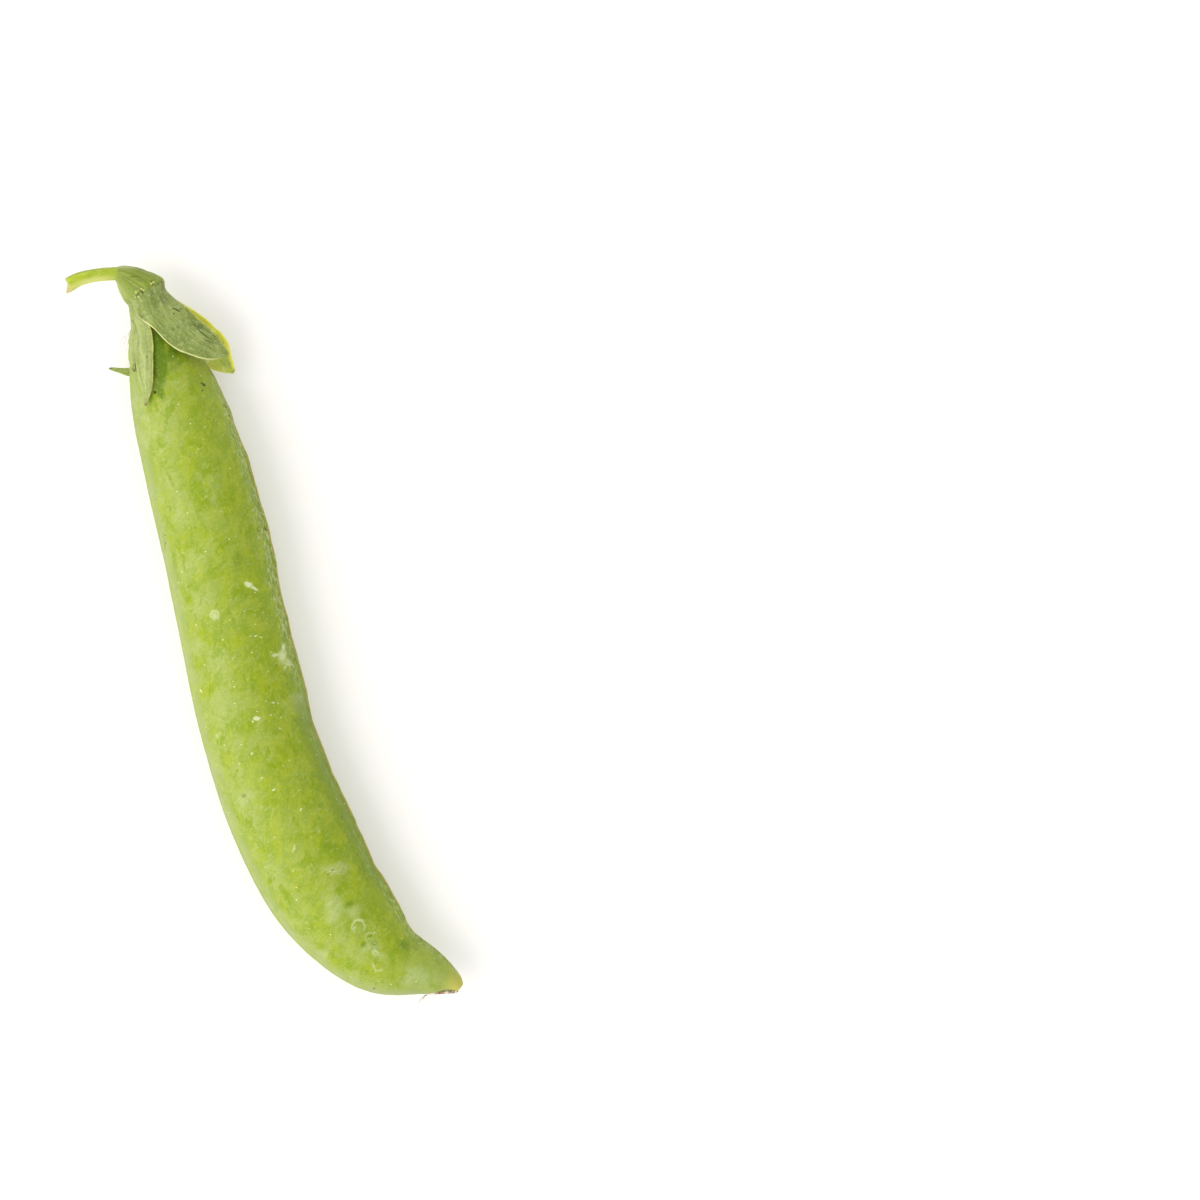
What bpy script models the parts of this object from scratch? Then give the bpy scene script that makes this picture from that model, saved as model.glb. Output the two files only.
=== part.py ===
"""A garden pea pod as picked: the pod, its five-lobed calyx, the stalk and the withered style.

The pod lies on its side on the ground plane. +Y runs along it towards the stalk, +X points to
the seam that the peas hang from, and the origin is the middle of the flat spot it rests on.
Sizes below are in millimetres; the model is built in metres.
"""

import math

import bmesh
import bpy
from mathutils import Matrix, Vector

MM = 0.001

# The pod's middle line from the neck to the beak: x, y, half width, half thickness.
POD_STATIONS = [
    (8.7, 49.5, 1.4, 1.3),
    (8.6, 47.9, 1.75, 1.6),
    (8.2, 46.1, 2.6, 2.35),
    (7.65, 43.9, 3.8, 3.2),
    (7.2, 40.9, 4.9, 4.1),
    (6.6, 36.3, 5.85, 5.1),
    (5.4, 27.7, 6.5, 5.85),
    (3.6, 16.9, 6.85, 6.1),
    (1.2, 5.9, 6.9, 6.15),
    (-0.6, -3.8, 7.1, 6.15),
    (-1.7, -14.8, 7.35, 6.15),
    (-1.7, -24.4, 7.3, 6.0),
    (-0.5, -31.0, 6.7, 5.5),
    (1.8, -37.1, 5.3, 4.3),
    (5.7, -41.3, 3.1, 2.7),
    (8.15, -43.7, 1.35, 1.3),
    (9.1, -44.8, 0.5, 0.5),
]
POD_STEPS = 4
POD_HEIGHT = 5.8
# Half of one side of the cross-section, as angles from a seam; they crowd where the seam stands out.
QUARTER_ANGLES = [0.0, 0.07, 0.15, 0.3, 0.52, 0.78, 1.04, 1.3]
# Over 1, the two walls meet at the seams at an angle, as in a lens, and not in a round edge.
EDGE_POWER = 1.12

# The seam that carries the peas is a broad rib, and the one across from it a slight one.
VENTRAL_RIB = 0.32
DORSAL_RIB = 0.2
RIB_HALF_ANGLE = 0.13
NECK_TWIST = math.radians(28)
TWIST_END_Y = 24.5

PEA_PITCH = 9.6
PEA_SWELL = 0.12
FIRST_PEA_Y = 36.5
LAST_PEA_Y = -34.5

# The calyx cup, from the stalk down its outside and back up its inside: x, y, radius, heading in
# degrees from +X. It narrows under its lip and then flares to the rim that the lobes grow from.
CUP_RINGS = [
    (6.9, 53.65, 0.95, -35),
    (7.45, 52.95, 1.5, -48),
    (8.0, 52.1, 2.0, -60),
    (8.4, 51.4, 2.4, -72),
    (8.6, 50.8, 2.6, -80),
    (8.65, 50.3, 2.5, -85),
    (8.7, 49.9, 2.3, -86),
    (8.7, 49.1, 2.65, -85),
    (8.65, 47.9, 3.15, -84),
    (8.65, 47.8, 2.6, -84),
    (8.7, 49.0, 2.1, -85),
    (8.7, 50.0, 1.75, -86),
]
CUP_FLATNESS = 0.9
CUP_SIDES = 20

# The stalk from its cut end to the cup: x, y, z, radius.
STALK_STATIONS = [
    (0.1, 55.2, 7.2, 0.95),
    (2.2, 55.2, 7.0, 0.9),
    (4.5, 54.7, 6.5, 0.84),
    (6.4, 54.0, 5.95, 0.88),
]
STALK_STEPS = 4
STALK_SIDES = 12

# The withered style, folded back under the beak from its root: x, y, z, radius.
STYLE_STATIONS = [
    (8.9, -45.8, 5.9, 0.3),
    (7.1, -45.3, 6.0, 0.32),
    (5.4, -44.75, 5.9, 0.3),
    (3.8, -44.3, 5.6, 0.3),
]
STYLE_STEPS = 4
STYLE_SIDES = 8

# Each lobe of the calyx: points from its root to its tip (x, y, z), the way that its outer face
# looks at the root and at the tip, the greatest half width, how far its sides arch over.
SEPALS = {
    "upper_front": (
        [(8.6, 48.8, 7.95), (9.4, 46.7, 8.8), (10.5, 44.3, 9.3), (12.0, 41.9, 9.1), (14.6, 38.9, 7.9)],
        (0.15, 0.1, 0.98), (0.6, 0.3, 0.75), 2.4, 0.2),
    "upper_back": (
        [(8.5, 48.7, 3.6), (10.1, 46.1, 2.55), (11.9, 43.5, 2.05), (13.8, 40.5, 2.4), (14.6, 36.8, 3.4)],
        (0.15, 0.1, -0.98), (0.4, 0.25, -0.88), 2.4, 0.15),
    "lower_front": (
        [(7.6, 49.1, 7.65), (6.6, 46.0, 8.85), (5.8, 43.4, 9.85), (4.5, 40.3, 10.4), (2.8, 37.25, 10.3)],
        (-0.3, 0.15, 0.94), (-0.35, 0.05, 0.93), 1.2, 0.25),
    "lower_middle": (
        [(6.7, 49.2, 6.75), (5.6, 47.4, 7.35), (4.6, 45.6, 8.1), (3.9, 43.7, 8.75), (3.4, 41.7, 9.25)],
        (-0.85, 0.2, 0.5), (-0.6, 0.1, 0.8), 1.0, 0.2),
    "lower_back": (
        [(7.35, 48.9, 4.05), (6.2, 45.8, 2.65), (5.0, 43.4, 1.85), (2.7, 42.2, 1.8), (0.5, 43.75, 2.1)],
        (-0.3, 0.1, -0.95), (0.0, 0.3, -0.95), 1.1, 0.2),
}
SEPAL_ROWS = 13
SEPAL_COLUMNS = 4
SEPAL_THICKNESS = 0.62
SEPAL_ROOT_SHARE = 0.8
SEPAL_TIP_SHARE = 0.07
SEPAL_WIDEST = 0.45

COLOURS = {
    "pod": (0.30, 0.42, 0.05),
    "calyx": (0.27, 0.37, 0.09),
    "stalk": (0.52, 0.58, 0.16),
    "style": (0.25, 0.15, 0.07),
}
ROUGHNESS = {"pod": 0.45, "calyx": 0.6, "stalk": 0.5, "style": 0.85}


def clear_scene():
    for item in list(bpy.data.objects):
        bpy.data.objects.remove(item)


def material(name):
    made = bpy.data.materials.new(name)
    made.use_nodes = True
    shader = made.node_tree.nodes["Principled BSDF"]
    shader.inputs["Base Color"].default_value = (*COLOURS[name], 1.0)
    shader.inputs["Roughness"].default_value = ROUGHNESS[name]
    shader.inputs["Metallic"].default_value = 0.0
    return made


def smooth_rows(rows, steps):
    """The rows, tuples of numbers, with steps - 1 more between each two, on a Catmull-Rom curve."""
    ends = [tuple(2 * a - b for a, b in zip(rows[0], rows[1]))]
    ends += [*rows, tuple(2 * a - b for a, b in zip(rows[-1], rows[-2]))]
    made = []
    for i in range(1, len(rows)):
        before, start, end, after = ends[i - 1:i + 3]
        for k in range(steps):
            t = k / steps
            made.append(tuple(
                0.5 * (2 * b + (c - a) * t + (2 * a - 5 * b + 4 * c - d) * t ** 2
                       + (3 * b - a - 3 * c + d) * t ** 3)
                for a, b, c, d in zip(before, start, end, after)))
    return [*made, rows[-1]]


def headings(points):
    """The unit direction of a line of points at each of them."""
    last = len(points) - 1
    return [(points[min(i + 1, last)] - points[max(i - 1, 0)]).normalized() for i in range(last + 1)]


def mesh_object(name, bm, look):
    for vertex in bm.verts:
        vertex.co *= MM
    bmesh.ops.recalc_face_normals(bm, faces=bm.faces)
    mesh = bpy.data.meshes.new(name)
    bm.to_mesh(mesh)
    bm.free()
    mesh.shade_smooth()
    mesh.set_sharp_from_angle(angle=math.radians(50))
    mesh.materials.append(look)
    made = bpy.data.objects.new(name, mesh)
    bpy.context.scene.collection.objects.link(made)
    return made


def tube_object(name, rings, look):
    """A closed solid through rings of points, each ring in the same order, with a face on each end."""
    bm = bmesh.new()
    loops = [[bm.verts.new(point) for point in ring] for ring in rings]
    count = len(loops[0])
    for first, second in zip(loops, loops[1:]):
        for k in range(count):
            near = (k + 1) % count
            bm.faces.new((first[k], first[near], second[near], second[k]))
    bm.faces.new(loops[0])
    bm.faces.new(loops[-1])
    return mesh_object(name, bm, look)


def section_angles():
    """Angles all the way round a section of the pod, from the ventral seam, close-set at both seams."""
    quarter = QUARTER_ANGLES
    half = quarter + [math.pi / 2] + [math.pi - angle for angle in reversed(quarter)]
    return half + [2 * math.pi - angle for angle in reversed(half[1:-1])]


def rib_height(angle):
    """How far the seams' ribs lift the skin at an angle round the section."""
    from_ventral = min(angle, 2 * math.pi - angle)
    from_dorsal = abs(angle - math.pi)
    return (VENTRAL_RIB * math.exp(-((from_ventral / RIB_HALF_ANGLE) ** 2))
            + DORSAL_RIB * math.exp(-((from_dorsal / RIB_HALF_ANGLE) ** 2)))


def pod_ring(centre, heading, half_width, half_thickness):
    """One cross-section of the pod, flattened where it meets the ground."""
    along = Vector((heading.x, heading.y, 0)).normalized()
    ventral = along.cross(Vector((0, 0, 1))) * -1
    if LAST_PEA_Y < centre.y < FIRST_PEA_Y:
        half_thickness += PEA_SWELL * math.cos(2 * math.pi * (FIRST_PEA_Y - centre.y) / PEA_PITCH)
    share = max(0.0, (centre.y - TWIST_END_Y) / (POD_STATIONS[0][1] - TWIST_END_Y))
    twist = Matrix.Rotation(-NECK_TWIST * share, 3, along)
    rib_scale = min(1.0, half_width / POD_STATIONS[7][2])
    ring = []
    for angle in section_angles():
        lift = rib_height(angle) * rib_scale
        across = (half_width - (VENTRAL_RIB + DORSAL_RIB) / 2 * rib_scale + lift) * math.cos(angle)
        up = half_thickness * math.copysign(abs(math.sin(angle)) ** EDGE_POWER, math.sin(angle))
        point = centre + twist @ (ventral * across + Vector((0, 0, up)))
        point.z = max(point.z, 0.0)
        ring.append(point)
    return ring


def pod():
    rows = smooth_rows(POD_STATIONS, POD_STEPS)
    centres = [Vector((row[0], row[1], POD_HEIGHT)) for row in rows]
    rings = [pod_ring(centre, heading, row[2], row[3])
             for centre, heading, row in zip(centres, headings(centres), rows)]
    return tube_object("pod", rings, material("pod"))


def round_ring(centre, heading, radius, sides, flatness=1.0):
    """An ellipse of points about a centre, square to the heading, its height flatness of its width."""
    across = heading.cross(Vector((0, 0, 1))).normalized()
    up = across.cross(heading) * flatness
    return [centre + radius * (math.cos(turn) * across + math.sin(turn) * up)
            for turn in (2 * math.pi * k / sides for k in range(sides))]


def cup(look):
    rings = []
    for x, y, radius, degrees in CUP_RINGS:
        turn = math.radians(degrees)
        heading = Vector((math.cos(turn), math.sin(turn), 0))
        centre = Vector((x, y, POD_HEIGHT))
        rings.append(round_ring(centre, heading, radius, CUP_SIDES, CUP_FLATNESS))
    return tube_object("calyx", rings, look)


def sepal_half_width(share, widest):
    """A lobe's half width from its root, at share 0, to its pointed tip."""
    if share < SEPAL_WIDEST:
        rise = math.sin(math.pi / 2 * share / SEPAL_WIDEST)
        return widest * (SEPAL_ROOT_SHARE + (1 - SEPAL_ROOT_SHARE) * rise)
    fall = math.cos(math.pi / 2 * (share - SEPAL_WIDEST) / (1 - SEPAL_WIDEST))
    return widest * (SEPAL_TIP_SHARE + (1 - SEPAL_TIP_SHARE) * fall)


def sepal(name, points, root_face, tip_face, widest, arch, look):
    """One lobe of the calyx: a thin arched leaf with a closed edge."""
    steps = (SEPAL_ROWS - 1) // (len(points) - 1)
    line = [Vector(point) for point in smooth_rows(points, steps)]
    rings = []
    for i, (centre, heading) in enumerate(zip(line, headings(line))):
        share = i / (len(line) - 1)
        face = Vector(root_face).lerp(Vector(tip_face), share)
        across = heading.cross(face).normalized()
        face = across.cross(heading).normalized()
        half = sepal_half_width(share, widest)
        bow = arch * half / widest
        outer, inner = [], []
        for k in range(SEPAL_COLUMNS + 1):
            side = 2 * k / SEPAL_COLUMNS - 1
            middle = centre + across * half * side - face * bow * half * side ** 2
            lean = (face + across * 2 * bow * side).normalized()
            outer.append(middle + lean * SEPAL_THICKNESS / 2)
            inner.append(middle - lean * SEPAL_THICKNESS / 2)
        rings.append(outer + inner[::-1])
    return tube_object("lobe_" + name, rings, look)


def calyx():
    """The cup with its five lobes joined to it in one body."""
    look = material("calyx")
    body = cup(look)
    lobes = bpy.data.collections.new("lobes")
    bpy.context.scene.collection.children.link(lobes)
    for name, (points, root_face, tip_face, widest, arch) in SEPALS.items():
        lobe = sepal(name, points, root_face, tip_face, widest, arch, look)
        bpy.context.scene.collection.objects.unlink(lobe)
        lobes.objects.link(lobe)
    join = body.modifiers.new("join_lobes", "BOOLEAN")
    join.operation = "UNION"
    join.operand_type = "COLLECTION"
    join.collection = lobes
    join.solver = "EXACT"
    bpy.context.view_layer.objects.active = body
    bpy.ops.object.modifier_apply(modifier=join.name)
    for lobe in list(lobes.objects):
        bpy.data.objects.remove(lobe)
    bpy.data.collections.remove(lobes)
    return body


def strand(name, stations, steps, sides, look_name):
    """A slim round stem through stations of x, y, z and radius."""
    rows = smooth_rows(stations, steps)
    centres = [Vector(row[:3]) for row in rows]
    rings = [round_ring(centre, heading, row[3], sides)
             for centre, heading, row in zip(centres, headings(centres), rows)]
    return tube_object(name, rings, material(look_name))


def main():
    clear_scene()
    pod()
    calyx()
    strand("stalk", STALK_STATIONS, STALK_STEPS, STALK_SIDES, "stalk")
    strand("withered_style", STYLE_STATIONS, STYLE_STEPS, STYLE_SIDES, "style")


main()
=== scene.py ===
"""Garden pea pod: the finished pod, calyx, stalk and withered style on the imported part, with their stage."""

import random
from math import asin, atan2, cos, degrees, pi, radians, sin
from typing import NamedTuple

import bmesh
import bpy
import numpy as np
from bpy.props import FloatProperty, FloatVectorProperty, IntProperty, PointerProperty
from bpy.types import Operator, Panel, PropertyGroup
from mathutils import Matrix, Vector
from mathutils.bvhtree import BVHTree


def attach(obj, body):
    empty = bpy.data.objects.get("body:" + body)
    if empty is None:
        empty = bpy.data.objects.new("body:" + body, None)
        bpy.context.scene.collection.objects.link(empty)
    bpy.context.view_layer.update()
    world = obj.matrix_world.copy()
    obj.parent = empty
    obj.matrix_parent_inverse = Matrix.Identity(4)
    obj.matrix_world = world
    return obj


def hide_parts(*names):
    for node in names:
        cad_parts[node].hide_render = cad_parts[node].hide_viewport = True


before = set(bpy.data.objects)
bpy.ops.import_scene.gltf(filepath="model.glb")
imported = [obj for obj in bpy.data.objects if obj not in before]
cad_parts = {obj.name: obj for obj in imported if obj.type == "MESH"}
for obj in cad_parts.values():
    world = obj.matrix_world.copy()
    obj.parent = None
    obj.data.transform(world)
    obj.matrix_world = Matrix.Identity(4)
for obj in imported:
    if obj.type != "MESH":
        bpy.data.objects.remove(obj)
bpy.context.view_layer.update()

bl_info = {
    "name": "Garden Pea Pod",
    "version": (1, 0, 0),
    "blender": (4, 5, 0),
    "location": "3D View > Sidebar > Pea Pod",
    "description": "Models a closed garden pea pod with its calyx, stalk, withered style and water drops",
    "category": "Add Mesh",
}

MM = 0.001
WEIGHT_STEPS = 64
UP = Vector((0, 0, 1))


def paint(red, green, blue):
    """A colour as a colour picker gives it, 0 to 255, turned into the linear values that shaders take."""
    shares = [value / 255 for value in (red, green, blue)]
    return tuple(s / 12.92 if s <= 0.04045 else ((s + 0.055) / 1.055) ** 2.4 for s in shares)


PALETTE = {  # colours as a colour picker gives them, by the layer of a finish that has them
    # The pod's skin
    "flecks": (160, 172, 62), "rubbed": (126, 150, 0), "thick bloom": (180, 191, 132),
    "deep green": (94, 122, 0), "dull streaks": (186, 196, 132), "pale grain": (190, 198, 112),
    "dark grain": (104, 128, 8), "beak": (150, 166, 96), "beak tip": (188, 180, 84),
    "lower flank": (98, 124, 4), "creases": (98, 124, 12), "silver": (180, 192, 126),
    "crust": (86, 88, 36), "flakes": (192, 203, 146), "pale back": (152, 165, 102),
    "outer rib": (120, 138, 50), "seam crest": (220, 208, 158), "pale specks": (224, 228, 160),
    "dark dots": (84, 98, 20), "pale marks": (208, 216, 162), "dark marks": (62, 58, 24),
    # The calyx
    "leaf clouds": (142, 156, 78), "light flow": (172, 184, 116), "dark flow": (104, 124, 40),
    "thin lines": (84, 100, 40), "light leaf": (190, 198, 146), "dark leaf": (102, 122, 44),
    "grit": (204, 210, 168), "veins": (182, 192, 126), "furrows": (78, 92, 36),
    "old margin": (206, 202, 92), "rim": (206, 212, 150), "collar": (130, 147, 40),
    "neck": (146, 160, 54), "cup": (122, 138, 44), "cup ridges": (186, 194, 124),
    "cup furrows": (96, 118, 20), "cup top": (182, 188, 138), "cup below": (162, 174, 104),
    "pits": (66, 82, 16), "crumbs": (206, 204, 112), "rust": (104, 84, 34), "bruises": (60, 72, 24),
    "leaf tips": (112, 92, 50),
    # The stalk and the withered pieces
    "stalk clouds": (158, 176, 34), "stalk shade": (128, 142, 72), "light lines": (206, 210, 112),
    "dark lines": (146, 160, 36), "stalk root": (162, 178, 58), "stalk end": (206, 198, 132),
    "rind": (128, 100, 62), "brown folds": (92, 60, 38),
}

# The pod: its sections from the neck inside the calyx to the beak, in mm
POD_HEIGHT = 5.8
SKY_HEIGHT = 40
POD_STATIONS = [  # x, y, half width, half thickness
    (8.7, 49.5, 1.4, 1.3), (8.6, 47.9, 1.75, 1.6), (8.2, 46.1, 2.6, 2.35), (7.65, 43.9, 3.8, 3.2),
    (7.2, 40.9, 4.9, 4.1), (6.6, 36.3, 5.85, 5.1), (5.4, 27.7, 6.5, 5.85), (3.6, 16.9, 6.85, 6.1),
    (1.2, 5.9, 6.9, 6.15), (-0.72, -3.8, 7.1, 6.15), (-1.85, -14.8, 7.35, 6.15), (-1.7, -24.4, 7.3, 6.0),
    (-0.5, -31.0, 6.7, 5.5), (1.8, -37.1, 5.3, 4.3), (5.7, -41.3, 3.1, 2.7), (8.15, -43.7, 1.45, 1.35),
    (8.98, -45.1, 0.6, 0.55),
]
POD_STEPS = 5
SECTION_QUARTER = [0.0, 0.045, 0.09, 0.15, 0.23, 0.34, 0.48, 0.64, 0.82, 1.02, 1.22, 1.4]
EDGE_POWER = 1.12
NECK_TWIST = radians(28)
TWIST_END_Y = 24.5
PEA_PITCH = 9.6
FIRST_PEA_Y = 36.5
LAST_PEA_Y = -34.5
WIDE_HALF = 6.85
RIB_HALF_ANGLE = 0.13
CREST_HALF_ANGLE = 0.04
CREST_HEIGHT = 0.1
GROOVE_DEPTHS = (0.1, 0.05)
GROOVE_ANGLE = 0.17
GROOVE_HALF_ANGLE = 0.05
EDGE_STEPS = [  # y, how far the seam's edge stands out there, half length
    (33.6, 0.2, 1.0), (31.0, -0.14, 1.6), (27.8, 0.2, 1.5), (24.4, 0.2, 0.9), (22.0, -0.16, 1.2),
    (19.4, 0.12, 0.9), (16.4, -0.1, 0.9), (11.2, -0.36, 2.0), (5.0, -0.05, 1.5), (1.2, 0.16, 1.0),
    (-1.2, 0.2, 0.9), (-6.2, -0.4, 2.2), (-12.2, -0.2, 2.4), (-19.6, 0.2, 1.0), (-27.6, -0.26, 1.6),
    (-39.0, -0.12, 1.3), (-42.6, 0.36, 1.7),
]


class Mark(NamedTuple):
    """A spot on the skin: its middle, length and width in mm, its turn in degrees, and how strong it is.

    The core is the share of its radius within which it is at its strongest. A rim over 0 makes it a
    ring instead, with a line that wide as a share of its size, open past its arc in degrees.
    """
    x: float
    y: float
    length: float
    width: float
    turn: float = 0.0
    strength: float = 1.0
    core: float = 0.7
    rim: float = 0.0
    arc: float = 360.0


PALE_MARKS_AND_HIGHLIGHTS = [Mark(*values) for values in (  # the scars and specks that the photo shows, and painted highlights on the rims of the water drops
    (5.77, 1.5, 2.0, 1.7, 20, 0.45, 0.3), (6.09, 0.68, 1.5, 0.45, -30, 0.6),
    (5.66, 11.76, 1.25, 0.75, -42, 1.0, 0.55), (6.05, 11.11, 1.5, 0.45, -58, 1.0, 0.5),
    (0.22, 9.89, 1.25, 1.0, 66, 0.5, 0.3), (0.22, 9.89, 1.3, 1.0, 60, 0.5, 0.7, 0.4, 230),
    (5.86, 2.01, 2.0, 1.4, 40, 0.8, 0.35), (5.12, 2.34, 1.4, 0.6, -20, 0.8, 0.3),
    (6.36, 2.81, 1.3, 0.6, 66, 0.9, 0.3), (6.24, 1.02, 1.2, 0.7, -40, 0.6, 0.1),
    (5.59, 0.49, 1.0, 0.5, 20, 0.6, 0.1), (4.76, 2.91, 0.5, 0.3, 0, 0.6, 0.1),
    (3.87, 5.51, 0.4, 0.26, 0, 0.9), (4.39, 5.14, 0.3, 0.2, 0, 0.7), (3.3, 5.76, 0.24, 0.2, 0, 0.6),
    (-5.22, 2.05, 0.6, 0.22, -70, 0.9), (2.87, 10.89, 0.25, 0.2, 0, 0.7), (3.9, 8.92, 0.25, 0.2, 0, 0.7),
    (2.43, -2.89, 0.45, 0.2, -30, 0.8), (2.95, -3.26, 0.35, 0.2, -30, 0.8),
    (1.68, -2.42, 0.3, 0.15, -30, 0.6), (-0.22, -3.89, 1.1, 0.6, -24, 1.0, 0.5),
    (-0.83, -4.03, 0.4, 0.3, 60, 0.7), (-2.58, -7.63, 0.5, 0.35, 40, 0.8, 0.3),
    (1.89, -6.21, 0.4, 0.16, -60, 0.7), (-5.53, -3.83, 1.4, 0.8, 20, 0.35, 0.0),
    (-2.72, -10.99, 0.5, 0.24, 20, 0.8), (-1.92, -12.86, 0.4, 0.3, 0, 0.9),
    (0.14, -16.52, 0.45, 0.26, 30, 0.8), (-2.66, -20.61, 1.3, 0.4, 52, 0.6, 0.2),
    # Rings and a streak at the water drops, painted highlights on their rims
    (0.64, -32.78, 1.8, 1.5, 60, 0.5, 0.7, 0.34, 230), (0.15, -32.97, 0.8, 0.6, 140, 0.35, 0.7, 0.5, 200),
    (1.45, -34.65, 1.4, 1.2, 120, 0.28, 0.7, 0.35, 200), (1.35, -36.39, 1.6, 0.5, -75, 0.5, 0.1),
    (1.31, -38.01, 2.2, 1.6, -150, 0.4, 0.7, 0.22, 120), (0.5, -25.18, 1.3, 0.16, -20, 0.4),
    (-0.2, -24.59, 0.9, 0.14, 5, 0.4), (1.31, -25.82, 0.8, 0.14, -40, 0.35),
)]
CLOUDS = [Mark(*values, core=0.0) for values in (  # patches of thicker bloom
    (-1.03, -28.88, 6.9, 4.1, 60, 0.6), (0.18, -31.07, 4.5, 2.4, 20, 0.45),
    (1.12, -36.29, 4.8, 2.7, -70, 0.7), (4.81, -41.51, 5.4, 3.4, -30, 0.8),
    (-5.18, -34.14, 3.3, 2.4, 0, 0.5), (0.88, -24.94, 6.0, 2.0, -20, 0.5),
    (5.49, -3.99, 5.7, 2.7, -30, 0.7), (5.53, -8.8, 3.9, 2.0, -30, 0.5), (4.77, 25.8, 3.6, 2.7, 66, 0.35),
    (6.94, 23.31, 3.9, 2.4, 66, 0.3), (10.96, 12.74, 3.0, 2.0, 60, 0.4), (1.71, 33.34, 6.0, 3.4, 75, 0.5),
    (2.6, 37.74, 6.8, 2.7, 80, 0.7), (5.94, 25.96, 3.0, 6.0, 40, 0.3), (-5.33, -12.83, 5.2, 3.4, 20, 0.4),
    (4.6, -5.0, 6.0, 2.7, -40, 0.5),
)]
SHADES = [Mark(*values) for values in (  # patches of deeper green with no bloom; the first four, under the calyx's lobes, are painted shade
    (7.06, 42.17, 8.0, 2.2, 72, 1.0, 0.5), (8.47, 40.44, 4.5, 1.5, 10, 0.5, 0.2),
    (8.6, 41.9, 3.4, 2.6, 40, 0.75, 0.2), (5.43, 38.25, 3.2, 1.4, 90, 0.8, 0.3),
    (0.79, -29.7, 2.4, 1.2, 0, 0.6, 0.0), (0.34, -34.98, 1.6, 1.0, 40, 0.7, 0.0),
    (1.35, -36.39, 2.0, 0.8, -75, 0.6, 0.0), (4.91, -37.31, 4.0, 2.0, -40, 0.5, 0.0),
    (1.49, -22.06, 6.0, 1.8, -50, 0.5, 0.0), (5.83, 15.04, 5.0, 2.5, 60, 0.35, 0.0),
    (2.2, 15.0, 6.0, 2.6, 80, 0.35, 0.0),
)]
DARK_MARKS = [Mark(*values) for values in (  # dark specks and stains
    (10.69, 36.84, 0.7, 0.3, -60, 1.0), (10.3, 36.2, 0.35, 0.25, 0, 0.8), (4.81, 38.39, 0.4, 0.35, 0, 1.0),
    (12.01, 33.37, 0.8, 0.25, -70, 0.8), (12.0, 32.0, 0.5, 0.2, -70, 0.8),
    (9.42, 17.54, 0.5, 0.22, -80, 0.7), (10.3, 17.25, 0.6, 0.25, -80, 0.8),
    (-1.33, 21.7, 0.25, 0.2, 0, 0.7), (-1.79, 20.66, 0.25, 0.2, 0, 0.7), (-5.64, -12.0, 0.8, 0.6, 0, 0.35),
    (0.3, -25.1, 1.3, 0.14, 20, 0.5), (1.6, -25.6, 1.0, 0.12, 15, 0.5), (-0.82, -40.62, 0.28, 0.24, 0, 1.0),
)]
STRAY_MARKS = 46
MARK_SEED = 5
MARK_DEPTH = 0.5
ARC_FADE = 15

# The calyx: its cup's rings from the stalk to the rim, in mm, then its lobes
CUP_RINGS = [  # x, y, radius, heading in degrees from +X
    (5.7, 54.26, 0.55, -20), (6.15, 54.12, 0.68, -24), (6.55, 53.94, 0.84, -32), (6.9, 53.68, 1.04, -44),
    (7.22, 53.33, 1.3, -56), (7.65, 52.75, 1.68, -69), (8.1, 52.05, 2.08, -79), (8.52, 51.3, 2.46, -84),
    (8.74, 50.72, 2.66, -87), (8.72, 50.3, 2.52, -87), (8.7, 49.95, 2.36, -87), (8.68, 49.4, 2.42, -87),
    (8.66, 48.8, 2.66, -86), (8.62, 48.0, 2.98, -85),
]
CUP_FLATNESS = 0.9
CUP_SIDES = 40
CUP_FOLDS = [  # degrees round the cup at its rim and at the stalk, half width in degrees, height in mm
    (62, 30, 6, 0.1), (84, 70, 5, 0.12), (104, 110, 6, 0.16), (126, 150, 7, 0.2), (146, 176, 5, -0.12),
    (162, 200, 6, 0.16), (190, 230, 8, 0.12), (40, 4, 6, -0.08), (20, -20, 6, 0.08), (280, 280, 9, 0.1),
    (320, 310, 8, -0.08),
]
LOBE_STEPS = 4
LEAST_BOW = 0.03
RIM_TOLERANCE = 0.01 * MM


class Lobe(NamedTuple):
    """A lobe of the calyx: where it leaves the rim, its rows to the tip, the way it faces, and its tint.

    Gilt is how far the yellow reaches in from its margin at the start and from the one at the end.
    """
    start: float
    end: float
    rows: list
    root_face: tuple
    tip_face: tuple
    bow: float
    bleach: float
    gilt: tuple


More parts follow.
